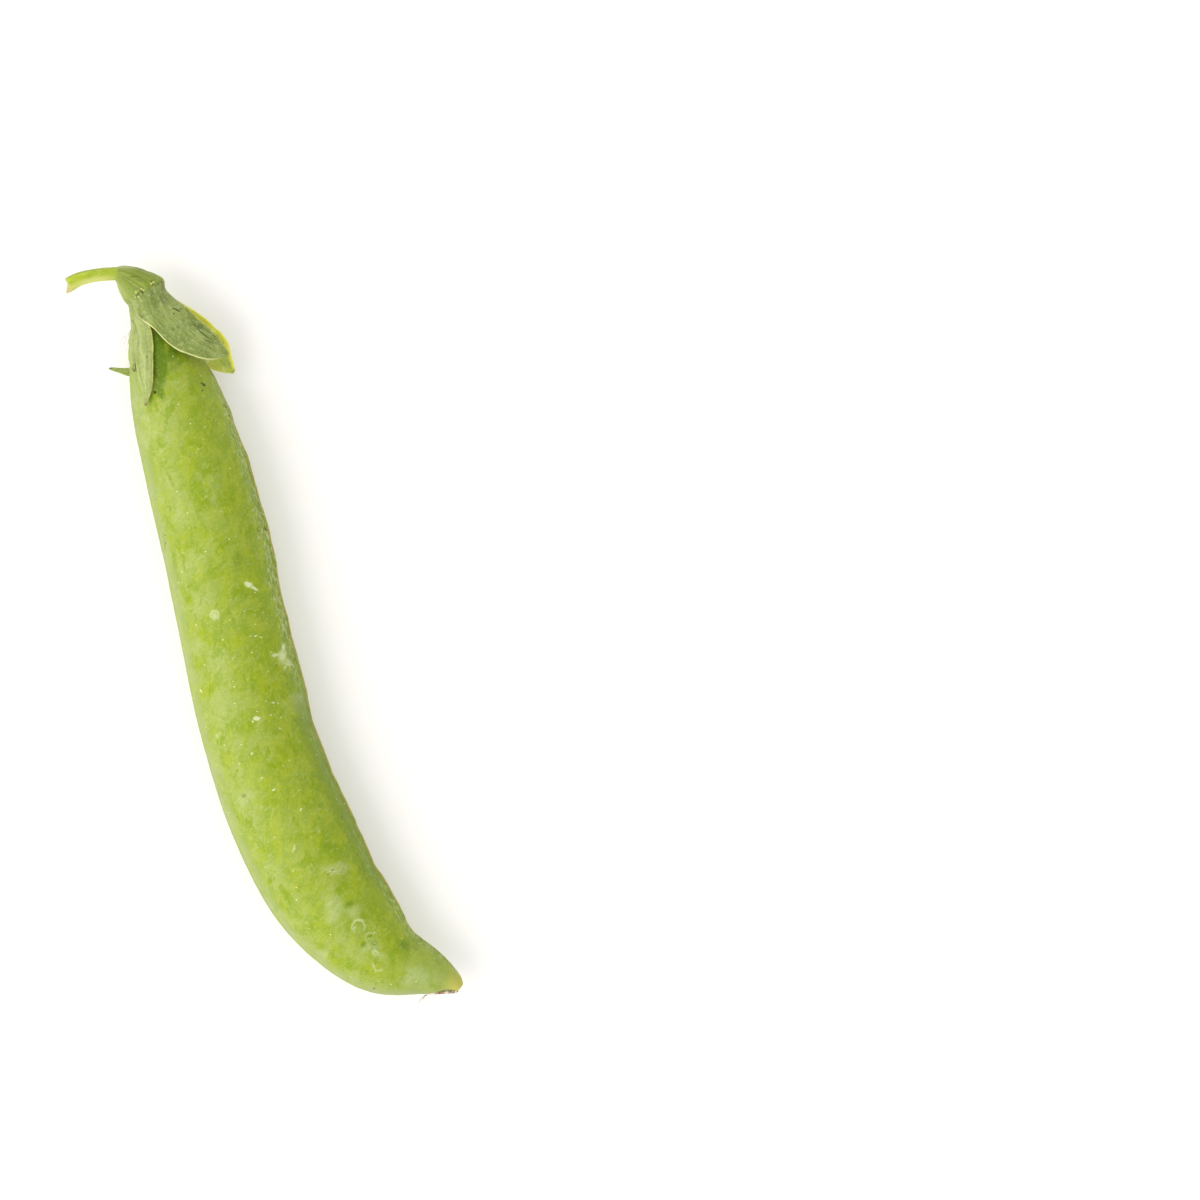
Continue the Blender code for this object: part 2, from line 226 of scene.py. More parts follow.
LOBES = {  # rows are x, y, z and half width
    "upper_front": Lobe(0, 126, [
        (10.4, 46.35, 8.6, 2.6), (11.3, 44.03, 8.95, 2.66), (12.5, 42.26, 8.9, 2.34),
        (13.72, 40.56, 8.5, 1.72), (15.05, 38.9, 8.0, 0.24)],
        (0.35, 0.15, 0.92), (0.5, 0.25, 0.8), 0.13, 0.1, (0.35, 0.1)),
    "lower_front": Lobe(126, 162, [
        (6.35, 46.2, 8.3, 1.42), (5.5, 43.6, 9.3, 1.46), (4.75, 41.45, 10.05, 1.2), (4.0, 39.2, 10.45, 0.74),
        (3.1, 37.3, 10.4, 0.1)],
        (-0.5, 0.15, 0.85), (-0.3, 0.05, 0.95), 0.16, 0.7, (0.22, 0.03)),
    "lower_middle": Lobe(162, 198, [
        (5.2, 46.6, 6.9, 1.15), (4.6, 45.1, 7.6, 1.2), (4.02, 43.8, 8.15, 1.0), (3.65, 42.8, 8.5, 0.6),
        (3.5, 41.8, 8.8, 0.08)],
        (-0.8, 0.2, 0.6), (-0.5, 0.1, 0.85), 0.2, 0.6, (0.1, 0.9)),
    "lower_back": Lobe(198, 234, [
        (6.2, 45.8, 2.75, 1.05), (5.5, 43.7, 2.2, 1.15), (4.2, 42.1, 1.95, 0.95), (2.7, 42.3, 2.0, 0.54),
        (0.5, 43.8, 2.2, 0.07)],
        (-0.4, 0.1, -0.9), (0.0, 0.3, -0.95), 0.2, 0.4, (0.1, 0.1)),
    # This lobe's full bleach and wide yellow are partly painted light, brightening it where it lies in the
    # shade of the lobe above
    "upper_back": Lobe(-126, 0, [
        (11.1, 45.4, 2.5, 2.6), (12.5, 42.5, 2.15, 2.75), (13.6, 40.2, 2.5, 2.45), (14.1, 38.4, 3.0, 1.5),
        (14.7, 36.8, 3.5, 0.16)],
        (0.35, 0.15, -0.92), (0.3, 0.25, -0.9), 0.1, 1.0, (0.6, 1.2)),
}
CALYX_VEINS = [  # degrees round the cup, first and last reach, depth in mm (raised where it is less than 0)
    (56, 0.12, 0.96, -0.04), (72, 0.6, 0.8, 0.04), (43, 0.5, 0.9, 0.05), (30, 0.4, 0.62, 0.06),
    (22, 0.5, 0.82, 0.06), (88, -0.2, 0.5, -0.03), (63, -0.5, 0.3, -0.04),
    (100, -0.5, 0.3, -0.04), (46, -0.5, 0.2, -0.04), (30, -0.5, 0.1, -0.04), (114, -0.4, 0.5, -0.03),
    (144, -0.5, 0.9, -0.06), (136, -0.2, 0.7, 0.03), (153, -0.2, 0.7, 0.03), (180, -0.4, 0.9, -0.05),
    (216, -0.4, 0.95, -0.05), (-63, -0.4, 0.95, -0.07), (-90, 0.0, 0.8, 0.04), (-38, 0.0, 0.8, 0.04),
    (-20, 0.1, 0.7, 0.03),
]
VEIN_HALF = 1.7
VEIN_DEPTH = 0.07
COLLAR_PITS = [Mark(*values) for values in (  # clusters of pitted lumps
    (8.2, 50.7, 1.35, 0.95, 15, 1.0), (10.35, 50.95, 1.5, 0.9, -5, 1.0), (9.25, 50.65, 0.7, 0.35, 0, 0.6),
    (7.6, 50.2, 0.5, 0.4, 0, 0.7),
)]
RUST_MARKS = [Mark(*values) for values in (  # brown stains on the calyx
    (11.1, 50.7, 0.5, 0.3, 60, 0.7), (3.43, 42.02, 0.8, 0.26, 85, 1.0), (3.74, 42.57, 0.5, 0.2, 60, 0.7),
    (3.5, 41.58, 0.4, 0.2, 40, 0.8),
)]
DARK_SPECKS_AND_FOLD_SHADE = [Mark(*values) for values in (  # dark specks, and painted shade along fine folds of the calyx
    (11.45, 46.7, 1.3, 0.24, -48, 0.9), (11.85, 46.65, 0.7, 0.16, -20, 0.7), (11.0, 46.4, 0.3, 0.2, 0, 0.8),
    (12.86, 43.81, 1.7, 0.16, -52, 0.7), (13.19, 42.71, 1.9, 0.15, -64, 0.8),
    (13.46, 41.49, 1.5, 0.16, -50, 0.7), (12.05, 43.22, 1.2, 0.13, -72, 0.6),
    (13.51, 40.37, 1.2, 0.12, -60, 0.6), (13.37, 43.72, 0.7, 0.14, -15, 0.6),
    (10.09, 44.65, 0.26, 0.2, 0, 0.8), (5.69, 42.79, 0.24, 0.18, 0, 0.6),
    (8.24, 52.74, 1.4, 0.14, -20, 0.6), (8.61, 52.03, 1.0, 0.12, -40, 0.5),
)]

# The stalk from its cut end, and the style from the beak, in mm
STALK_STATIONS = [  # x, y, z, radius
    (0.15, 55.1, 7.2, 0.98), (1.0, 55.22, 7.15, 0.93), (2.4, 55.2, 6.95, 0.88), (4.5, 54.72, 6.5, 0.84),
    (6.3, 54.03, 5.98, 0.86), (7.0, 53.5, 5.85, 0.8),
]
STRAND_STEPS = 5
CUT_EDGE = 0.16
CUT_RIND = 0.1
CUT_SINK = 0.14
CUT_PITH = 0.3
PITH_RISE = 0.1
CUT_HEADING = (-0.85, 0.53, 0.05)
STALK_SIDES = 24
STYLE_STATIONS = [  # x, y, z, radius
    (8.7, -45.05, 5.95, 0.1), (8.38, -45.2, 5.95, 0.17), (7.7, -45.02, 6.0, 0.21), (6.86, -44.7, 6.0, 0.2),
    (5.9, -44.37, 5.9, 0.15), (5.1, -44.12, 5.75, 0.11), (4.55, -44.08, 5.6, 0.06),
]
STYLE_SIDES = 12
STYLE_THREADS = [
    [(5.0, -44.1, 5.7), (4.43, -44.12, 5.6), (3.95, -44.3, 5.5), (3.42, -44.62, 5.3)],
    [(5.0, -44.1, 5.8), (4.5, -44.17, 5.8), (4.2, -44.4, 5.75), (4.02, -44.62, 5.6)],
]
CALYX_THREADS = [
    [(5.7, 47.4, 6.4), (4.9, 46.6, 6.9), (4.1, 46.0, 7.0), (3.5, 45.2, 6.6)],
    [(5.6, 47.1, 5.8), (4.7, 46.3, 6.0), (4.0, 45.3, 6.0), (3.5, 44.7, 5.7)],
    [(5.5, 47.0, 5.0), (4.5, 46.6, 5.0), (3.7, 46.3, 5.3), (3.2, 45.9, 5.7)],
]
STYLE_THREAD_RADIUS = 0.05
THREAD_RADIUS = 0.03
THREAD_SIDES = 6
THREAD_STEPS = 5

# Drops of water on the upper skin: x, y, length, width in mm and turn in degrees
DROPS = [
    (0.59, -32.9, 1.7, 1.45, 20), (1.6, -35.0, 1.5, 1.1, -60), (1.25, -36.9, 2.2, 0.9, -80),
    (6.1, -38.1, 0.8, 0.6, 30), (0.2, -30.3, 0.6, 0.5, 0),
]
DROP_HEIGHT_SHARE = 0.3
DROP_CUT = -0.2
BEAD_SEED = 11
BEAD_SIZES = (0.16, 0.34)
BEAD_BAND_Y = (-41.0, 36.0)

# The picture: its directions and its middle on the part, in mm, seen from straight above
PICTURE_TURN = radians(24.2)
PICTURE_RIGHT = Vector((cos(PICTURE_TURN), -sin(PICTURE_TURN), 0))
PICTURE_UP = Vector((sin(PICTURE_TURN), cos(PICTURE_TURN), 0))
PICTURE_MIDDLE = (44.8, -7.96, 6.0)
KEY_DISTANCE = 1.1
KEY_SIZE = 1.0
SENSOR_WIDTH = 36
CAMERA_DISTANCE = 1.4


class Row(NamedTuple):
    """Where a row of points lies, in metres: its middle, its axes across, up and ahead, its half sizes."""
    middle: Vector
    axes: Matrix
    half_width: float
    half_height: float


def row(middle, heading, up, half_width, half_height):
    """A row from values in mm, square to its heading and turned as near to up as it can be."""
    ahead = Vector(heading).normalized()
    across = Vector(up).cross(ahead).normalized()
    axes = Matrix((across, ahead.cross(across), ahead)).transposed()
    return Row(Vector(middle) * MM, axes, half_width * MM, half_height * MM)


def smooth_rows(rows, steps):
    """The rows, tuples of numbers, with steps - 1 more between each two, on a Catmull-Rom curve."""
    ends = [tuple(2 * a - b for a, b in zip(rows[0], rows[1]))]
    ends += [*rows, tuple(2 * a - b for a, b in zip(rows[-1], rows[-2]))]
    made = []
    for i in range(1, len(rows)):
        before, start, end, after = ends[i - 1:i + 3]
        for k in range(steps):
            t = k / steps
            made.append(tuple(
                0.5 * (2 * b + (c - a) * t + (2 * a - 5 * b + 4 * c - d) * t ** 2
                       + (3 * b - a - 3 * c + d) * t ** 3)
                for a, b, c, d in zip(before, start, end, after)))
    return [*made, rows[-1]]


def headings(points):
    """The unit direction of a line of points at each of them."""
    last = len(points) - 1
    return [(points[min(i + 1, last)] - points[max(i - 1, 0)]).normalized() for i in range(last + 1)]


def hill(away, half):
    """1 in the middle of a bell curve, falling off at this far from it."""
    return np.exp(-((away / half) ** 2))


def soft_step(values, low, high):
    """0 at low and before it, 1 at high and past it, with a soft start and end between them."""
    share = np.clip((values - low) / (high - low), 0.0, 1.0)
    return share * share * (3 - 2 * share)


def pick(*pieces):
    """Selects these pieces and nothing else, and makes the first one active."""
    bpy.ops.object.select_all(action="DESELECT")
    for piece in reversed(pieces):
        piece.select_set(True)
        bpy.context.view_layer.objects.active = piece


def name_new(name):
    """Gives the object that was just added its name, and gives it back."""
    made = bpy.context.object
    made.name = made.data.name = name
    return made


def start_ring(name, sides):
    """A new piece that is one ring of points, 2 m wide, and the row it lies on, to be sized and moved."""
    pick()
    bpy.ops.mesh.primitive_circle_add(vertices=sides, radius=1.0, fill_type="NOTHING", location=(0, 0, 0))
    return name_new(name), Row(Vector(), Matrix.Identity(3), 1.0, 1.0)


def move_row(old, new):
    """Sizes, turns and moves the selected points from one row's place to another's."""
    bpy.ops.transform.resize(
        value=(new.half_width / old.half_width, new.half_height / old.half_height, 1),
        orient_type="GLOBAL", orient_matrix=old.axes, orient_matrix_type="GLOBAL",
        center_override=old.middle)
    axis, angle = (new.axes @ old.axes.transposed()).to_quaternion().to_axis_angle()
    if angle:
        bpy.ops.transform.rotate(
            value=angle, orient_axis="Z", orient_matrix=axis.to_track_quat("Z", "Y").to_matrix(),
            orient_matrix_type="GLOBAL", constraint_axis=(False, False, True), center_override=old.middle)
    bpy.ops.transform.translate(value=new.middle - old.middle)
    return new


def extrude_to(old, new):
    """Extrudes the selected row of edges and moves the new points to the next row's place."""
    bpy.ops.mesh.extrude_edges_move(TRANSFORM_OT_translate={"value": (0, 0, 0)})
    return move_row(old, new)


def add_notes(piece, *names):
    """Gives every point a number of each name, which shaping sets and the finish reads."""
    for name in names:
        piece.data.attributes.new(name, "FLOAT", "POINT")


def note_selected(piece, name, value):
    """Writes a number on the selected points in edit mode: one for all, or from each point's place."""
    mesh = bmesh.from_edit_mesh(piece.data)
    layer = mesh.verts.layers.float[name]
    for point in mesh.verts:
        if point.select:
            point[layer] = value(point.co) if callable(value) else value


def notes(piece, name):
    """A piece's numbers of one name, as an array."""
    values = np.zeros(len(piece.data.vertices), np.float32)
    piece.data.attributes[name].data.foreach_get("value", values)
    return values


def write_notes(piece, name, values):
    if name not in piece.data.attributes:
        add_notes(piece, name)
    piece.data.attributes[name].data.foreach_set("value", np.asarray(values, np.float32))


def places(piece):
    """Every point's place in mm, as an array."""
    flat = np.zeros(len(piece.data.vertices) * 3, np.float32)
    piece.data.vertices.foreach_get("co", flat)
    return flat.reshape(-1, 3) / MM


def select_points(piece, chosen):
    """In object mode, selects just these points, so that edit mode opens with them."""
    mesh = piece.data
    mesh.polygons.foreach_set("select", np.zeros(len(mesh.polygons), bool))
    mesh.edges.foreach_set("select", np.zeros(len(mesh.edges), bool))
    mesh.vertices.foreach_set("select", np.asarray(chosen, bool))


def edit(piece, everything=True):
    """Opens a piece in edit mode on its own, with all its points selected unless told otherwise."""
    bpy.context.view_layer.objects.active = piece
    bpy.ops.object.mode_set(mode="EDIT")
    bpy.ops.mesh.select_mode(type="VERT")
    if everything:
        bpy.ops.mesh.select_all(action="SELECT")


def close_edit():
    """Back to object mode, with all faces turned outward."""
    bpy.ops.mesh.select_all(action="SELECT")
    bpy.ops.mesh.normals_make_consistent(inside=False)
    bpy.ops.object.mode_set(mode="OBJECT")


def apply_modifier(piece, kind, **settings):
    """Adds a modifier with these settings and applies it."""
    bpy.context.view_layer.objects.active = piece
    modifier = piece.modifiers.new(kind.title(), kind)
    for name, value in settings.items():
        setattr(modifier, name, value)
    bpy.ops.object.modifier_apply(modifier=modifier.name)


def subdivide(piece, levels=2):
    apply_modifier(piece, "SUBSURF", levels=levels, render_levels=levels)


def relief(piece, size, height, weights=None, depth=2, stretch=(1, 1, 1), turn=0.0):
    """Raises and sinks the skin by a cloud pattern of this size and height in mm, where the weights say."""
    clouds = bpy.data.textures.new("relief", "CLOUDS")
    clouds.noise_scale = size * MM
    clouds.noise_depth = depth
    grain = bpy.data.objects.new("grain", None)
    bpy.context.scene.collection.objects.link(grain)
    grain.scale = stretch
    grain.rotation_euler.z = radians(turn)
    bpy.context.view_layer.update()
    settings = {"texture": clouds, "texture_coords": "OBJECT", "texture_coords_object": grain,
                "strength": height * MM, "mid_level": 0.5, "direction": "NORMAL"}
    if weights is not None:
        settings["vertex_group"] = weigh(piece, weights)
    apply_modifier(piece, "DISPLACE", **settings)
    bpy.data.objects.remove(grain)
    bpy.data.textures.remove(clouds)
    piece.vertex_groups.clear()


def swell(piece, height, weights):
    """Pushes the skin out along its normals by this height in mm times the weights."""
    group = weigh(piece, weights)
    apply_modifier(piece, "DISPLACE", vertex_group=group, strength=height * MM, mid_level=0.0)
    piece.vertex_groups.clear()


def weigh(piece, weights):
    """A vertex group with these weights, in steps fine enough not to show."""
    group = piece.vertex_groups.new(name="share")
    levels = np.rint(np.clip(weights, 0.0, 1.0) * WEIGHT_STEPS).astype(int)
    for level in range(1, WEIGHT_STEPS + 1):
        chosen = np.flatnonzero(levels == level)
        if len(chosen):
            group.add(chosen.tolist(), level / WEIGHT_STEPS, "REPLACE")
    return group.name


def finish_piece(piece, slot, material, *nodes):
    """Shades a piece, gives it its material and its place in the part, over the nodes it stands for."""
    pick(piece)
    bpy.ops.object.shade_smooth_by_angle(angle=radians(60))
    piece.data.materials.clear()
    piece.data.materials.append(material)
    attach(piece, "root")
    if nodes:
        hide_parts(*nodes)
    pick()


def skin_of(piece):
    return BVHTree.FromObject(piece, bpy.context.evaluated_depsgraph_get())


def skin_at(skin, x, y):
    """The highest place of the skin at x and y in mm and its direction there, or None and None beside it."""
    return skin.ray_cast(Vector((x, y, SKY_HEIGHT)) * MM, -UP)[:2]


def skin_near(skin, x, y):
    """The highest place of the skin at x and y in mm, or beside its edge the place nearest to it."""
    return skin_at(skin, x, y)[0] or skin.find_nearest(Vector((x, y, POD_HEIGHT)) * MM)[0]


class Finish:
    """A material in the making: each method adds a node and gives back its output."""

    def __init__(self, name):
        self.material = bpy.data.materials.new(name)
        self.material.use_nodes = True
        self.nodes = self.material.node_tree.nodes
        self.place = self.add("ShaderNodeTexCoord").outputs["Object"]
        self.color = None

    def put(self, socket, value):
        """Joins an output to a socket, or sets a plain value or a colour of the palette on it."""
        if isinstance(value, str):
            value = paint(*PALETTE[value])
        if isinstance(value, bpy.types.NodeSocket):
            self.material.node_tree.links.new(value, socket)
        else:
            socket.default_value = (*value, 1.0) if socket.type == "RGBA" else value

    def add(self, kind, inputs=(), **settings):
        """A node with these settings, and with these values on its inputs, in order or by name."""
        node = self.nodes.new(kind)
        node.location = (-260 * (1 + len(self.nodes) % 12), -220 * (len(self.nodes) // 12))
        for name, value in settings.items():
            setattr(node, name, value)
        for socket, value in inputs.items() if isinstance(inputs, dict) else enumerate(inputs):
            self.put(node.inputs[socket], value)
        return node

    def note(self, name):
        return self.add("ShaderNodeAttribute", attribute_name=name).outputs["Fac"]

    def mapped(self, place, spot=(0, 0, 0), turn=0.0, scale=(1, 1, 1)):
        """A place measured from a spot, on axes turned about Z and scaled."""
        inputs = {"Vector": place, "Location": spot, "Rotation": (0, 0, radians(turn)), "Scale": scale}
        return self.add("ShaderNodeMapping", inputs, vector_type="TEXTURE").outputs["Vector"]

    def noise(self, size, detail=3.0, rough=0.55, warp=0.0, turn=0.0, stretch=None, output="Fac"):
        """Clouds of about this size in mm, from 0 to 1, that can be stretched along a turn about Z."""
        place = self.mapped(self.place, turn=turn, scale=stretch) if stretch else self.place
        inputs = {"Vector": place, "Scale": 1 / (size * MM), "Detail": detail, "Roughness": rough,
                  "Distortion": warp}
        return self.add("ShaderNodeTexNoise", inputs).outputs[output]

    def cells(self, size, output="Distance"):
        """The distances or the colours of a pattern of cells of this size in mm."""
        inputs = {"Vector": self.place, "Scale": 1 / (size * MM)}
        return self.add("ShaderNodeTexVoronoi", inputs).outputs[output]

    def step(self, value, low, high, bottom=0.0, top=1.0):
        """A soft step from bottom to top as the value goes from low to high."""
        inputs = (value, low, high, bottom, top)
        return self.add("ShaderNodeMapRange", inputs, interpolation_type="SMOOTHSTEP").outputs["Result"]

    def math(self, operation, *values):
        return self.add("ShaderNodeMath", values, operation=operation).outputs["Value"]

    def vectors(self, operation, *values, output="Vector"):
        return self.add("ShaderNodeVectorMath", values, operation=operation).outputs[output]

    def times(self, first, *others):
        for other in others:
            first = self.math("MULTIPLY", first, other)
        return first

    def swayed(self, value, clouds, width):
        """The value pushed up and down by clouds, by this much between their ends."""
        return self.math("ADD", value, self.math("MULTIPLY_ADD", clouds, width, -width / 2))

    def distance(self, value, middle):
        return self.math("ABSOLUTE", self.math("SUBTRACT", value, middle))

    def mix(self, share, first, second):
        """The first colour with the second laid over it by a share."""
        return self.add("ShaderNodeMix", {0: share, 6: first, 7: second}, data_type="RGBA").outputs[2]

    def coat(self, color, share=1.0):
        """Lays a colour by a share over those that are there. The first one is the ground."""
        self.color = color if self.color is None else self.mix(share, self.color, color)

    def frayed(self, size, amount):
        """The place on the piece, pushed about by clouds of this size, so that edges drawn by it fray."""
        clouds = self.noise(size, 2.0, 0.5, output="Color")
        push = self.vectors("MULTIPLY_ADD", clouds, (amount * MM,) * 3, (-amount / 2 * MM,) * 3)
        return self.vectors("ADD", self.place, push)

    def mark(self, mark, place, spot):
        """One mark about its spot on the skin: 0 away from it, its strength on it."""
        half = (mark.length / 2 * MM, mark.width / 2 * MM, (mark.length / 2 + MARK_DEPTH) * MM)
        near = self.mapped(place, spot, mark.turn, half)
        size = self.vectors("LENGTH", near, output="Value")
        if not mark.rim:
            return self.step(size, 1.2, mark.core, 0.0, mark.strength)
        along = self.add("ShaderNodeSeparateXYZ", [near]).outputs[0]
        open_end = self.math("SUBTRACT", along, cos(radians(mark.arc / 2)))
        line = self.step(self.distance(size, 1.0), mark.rim, mark.rim / 4)
        return self.times(line, self.step(open_end, -0.2, 0.1, 0.0, mark.strength))

    def marks(self, marks, place, skin):
        share = 0.0
        for mark in marks:
            share = self.math("MAXIMUM", share, self.mark(mark, place, skin_near(skin, mark.x, mark.y)))
        return share

    def bump(self, height, depth, **before):
        """A fine relief in the shading, this deep in mm, laid over the Normal given before it."""
        inputs = {"Height": height, "Distance": depth * MM, **before}
        return self.add("ShaderNodeBump", inputs).outputs["Normal"]

    def done(self, **inputs):
        """The material, with the colour and these values, named with _ for each space, on its shader."""
        shader = self.nodes["Principled BSDF"]
        for name, value in {"Base_Color": self.color, **inputs}.items():
            self.put(shader.inputs[name.replace("_", " ")], value)
        return self.material


def color_setting(name, description, color):
    return FloatVectorProperty(
        name=name, description=description, subtype="COLOR", size=3, min=0.0, max=1.0, default=color)


def length_setting(name, description, length, least=0.0, most=1 * MM):
    return FloatProperty(
        name=name, description=description, unit="LENGTH", precision=5, min=least, max=most, default=length)


class PodSettings(PropertyGroup):
    swell: length_setting("Pea swelling", "How far the wall bulges over each pea", 0.07 * MM)
    ventral_rib: length_setting("Ventral rib", "Height of the rib along the seam with the peas", 0.32 * MM)
    dorsal_rib: length_setting("Dorsal rib", "Height of the rib along the outer seam", 0.2 * MM)
    fresh: color_setting("Fresh green", "The skin's most saturated green", paint(130, 153, 0))
    light: color_setting("Light green", "The yellower green between the fresh patches", paint(150, 165, 16))
    bloom: color_setting("Bloom", "The whitish wax that rubs off in streaks", paint(158, 171, 86))
    seam: color_setting("Dry seam", "The dry line along the ventral seam", paint(158, 144, 84))


class CalyxSettings(PropertyGroup):
    thickness: length_setting(
        "Leaf thickness", "Thickness of the cup's wall and the lobes", 0.24 * MM, 0.1 * MM)
    leaf: color_setting("Leaf green", "The calyx between its veins", paint(110, 126, 46))
    bleached: color_setting("Bleached leaf", "The lobes that the light has bleached", paint(168, 180, 106))
    margin: color_setting("Margin", "The yellow edge of each lobe", paint(220, 212, 116))


class StalkSettings(PropertyGroup):
    skin: color_setting("Stalk green", "The stalk's lime green", paint(174, 190, 40))
    # The pale side is painted light, where the light falls on the stalk and shines through it
    pale: color_setting("Pale side", "The pale, translucent side of the stalk", paint(216, 214, 132))
    pith: color_setting("Pith", "The dry face of the cut end", paint(206, 190, 148))


class StyleSettings(PropertyGroup):
    dry: color_setting("Dry brown", "The withered tissue's brown", paint(150, 112, 80))
    papery: color_setting("Papery white", "Its bleached upper side", paint(225, 214, 190))


class DropSettings(PropertyGroup):
    beads: IntProperty(
        name="Beads", description="How many tiny beads of water lie on the skin",
        default=70, min=0, max=400)


class StageSettings(PropertyGroup):
    floor: color_setting("Floor", "The pale surface that the pod lies on", (0.755, 0.735, 0.71))
    glow: FloatProperty(
        name="Floor glow", description="How much the floor is lit through from below, as a light table is",
        default=0.27, min=0.0, max=2.0)
    key_power: FloatProperty(
        name="Key light", description="Strength of the soft light from the left",
        default=9.0, min=0.0, max=100.0, unit="POWER")
    sky: FloatProperty(
        name="Sky light", description="Strength of the even light from all round",
        default=0.92, min=0.0, max=5.0)
    field: length_setting("Field of view", "Width of the picture at the pod's height", 150 * MM, 10 * MM, 1.0)


class PeaPodSettings(PropertyGroup):
    pod: PointerProperty(type=PodSettings)
    calyx: PointerProperty(type=CalyxSettings)
    stalk: PointerProperty(type=StalkSettings)
    style: PointerProperty(type=StyleSettings)
    drops: PointerProperty(type=DropSettings)
    stage: PointerProperty(type=StageSettings)


def section_angles():
    """Angles all the way round a section of the pod, from the ventral seam, close-set at both seams."""
    half = SECTION_QUARTER + [pi / 2] + [pi - angle for angle in reversed(SECTION_QUARTER)]
    return half + [2 * pi - angle for angle in reversed(half[1:-1])]


def seam_lift(angle, settings):
    """How far the skin stands out at an angle round the widest section, in mm: ribs, crests, grooves."""
    ventral, dorsal = min(angle, 2 * pi - angle), abs(angle - pi)
    ribs = settings.ventral_rib / MM, settings.dorsal_rib / MM
    lift = sum(rib * hill(away, RIB_HALF_ANGLE) for rib, away in zip(ribs, (ventral, dorsal)))
    lift += CREST_HEIGHT * hill(ventral, CREST_HALF_ANGLE)
    for depth, away in zip(GROOVE_DEPTHS, (ventral, dorsal)):
        lift -= depth * hill(away - GROOVE_ANGLE, GROOVE_HALF_ANGLE)
    return lift - sum(ribs) / 2


def pod_rows(settings):
    """The pod's sections from neck to beak, and how far along the pod each one is, in mm."""
    stations = smooth_rows(POD_STATIONS, POD_STEPS)
    middles = [Vector((x, y, POD_HEIGHT)) for x, y, _, _ in stations]
    rows, reaches, reach = [], [], 0.0
    for i, (middle, heading, station) in enumerate(zip(middles, headings(middles), stations)):
        y, half_width, half_thickness = station[1:]
        if LAST_PEA_Y < y < FIRST_PEA_Y:
            half_thickness += settings.swell / MM * cos(2 * pi * (FIRST_PEA_Y - y) / PEA_PITCH)
        edge = sum(out * hill(y - at, spread) for at, out, spread in EDGE_STEPS)
        twist = NECK_TWIST * max(0.0, (y - TWIST_END_Y) / (POD_STATIONS[0][1] - TWIST_END_Y))
        up = Matrix.Rotation(-twist, 3, heading) @ UP
        ventral = UP.cross(heading)
        reach += (middle - middles[i - 1]).length if i else 0.0
        reaches.append(reach)
        rows.append(row(middle + ventral * edge / 2, heading, up, half_width + edge / 2, half_thickness))
    return rows, reaches


def shape_section(piece, settings):
    """Turns the ring into the pod's section: two bulging walls that meet in a rib at each seam."""
    mesh = bmesh.from_edit_mesh(piece.data)
    turn, height = (mesh.verts.layers.float[name] for name in ("turn", "height"))
    ring = sorted(mesh.verts, key=lambda point: round(atan2(point.co.y, point.co.x) % (2 * pi), 4))
    for point, angle in zip(ring, section_angles()):
        rise = abs(sin(angle)) ** EDGE_POWER * (1 if sin(angle) > 0 else -1)
        point.co = ((1 + seam_lift(angle, settings) / WIDE_HALF) * cos(angle), rise, 0)
        point[turn] = min(angle, 2 * pi - angle)
        point[height] = sin(angle)
    bmesh.update_edit_mesh(piece.data)


def mark_share(spots, mark):
    """How much of a mark each place has, from 0 to its strength, seen from above."""
    turn = radians(mark.turn)
    dx, dy = spots[:, 0] - mark.x, spots[:, 1] - mark.y
    u = (dx * cos(turn) + dy * sin(turn)) / (mark.length / 2)
    v = (dy * cos(turn) - dx * sin(turn)) / (mark.width / 2)
    size = np.hypot(u, v)
    if not mark.rim:
        return mark.strength * (1 - soft_step(size, mark.core, 1.3))
    away = np.abs(np.degrees(np.arctan2(v, u)))
    end = soft_step(away, mark.arc / 2 - ARC_FADE, mark.arc / 2 + ARC_FADE)
    return hill(size - 1, mark.rim) * mark.strength * (1 - end)


def marks_share(spots, marks):
    return np.max([mark_share(spots, mark) for mark in marks], axis=0)


def stray_marks(count, rng):
    """Small marks at random over a wall of the pod."""
    marks = []
    for _ in range(count):
        x, y, half_width, _ = rng.choice(POD_STATIONS[5:15])
        length = rng.uniform(0.3, 1.0)
        marks.append(Mark(
            x + rng.uniform(-0.8, 0.8) * half_width, y + rng.uniform(-4, 4), length,
            length * rng.uniform(0.3, 0.9), rng.uniform(0, 180), rng.uniform(0.3, 0.9)))
    return marks


def mark_pod(piece):
    """Raises the pale marks, sinks the dark ones, and notes those on the lower wall for the finish."""
    spots = places(piece)
    upper = notes(piece, "height") > 0
    rng = random.Random(MARK_SEED)
    sorts = {
        "pale_below": (PALE_MARKS_AND_HIGHLIGHTS, stray_marks(STRAY_MARKS, rng), 0.06),
        "dark_below": (DARK_MARKS, stray_marks(STRAY_MARKS // 3, rng), -0.05),
    }
    for name, (upper_marks, lower_marks, lift) in sorts.items():
        below = marks_share(spots, lower_marks) * ~upper
        write_notes(piece, name, below)
        swell(piece, lift, np.maximum(marks_share(spots, upper_marks) * upper, below))
    for name, patches in (("cloud", CLOUDS), ("shade", SHADES)):
        write_notes(piece, name, marks_share(spots, patches) * upper)


def flatten_base(piece):
    """Presses flat what lies below the surface that the pod rests on."""
    select_points(piece, places(piece)[:, 2] < 0)
    edit(piece, everything=False)
    bpy.ops.transform.resize(value=(1, 1, 0), center_override=(0, 0, 0))
    close_edit()


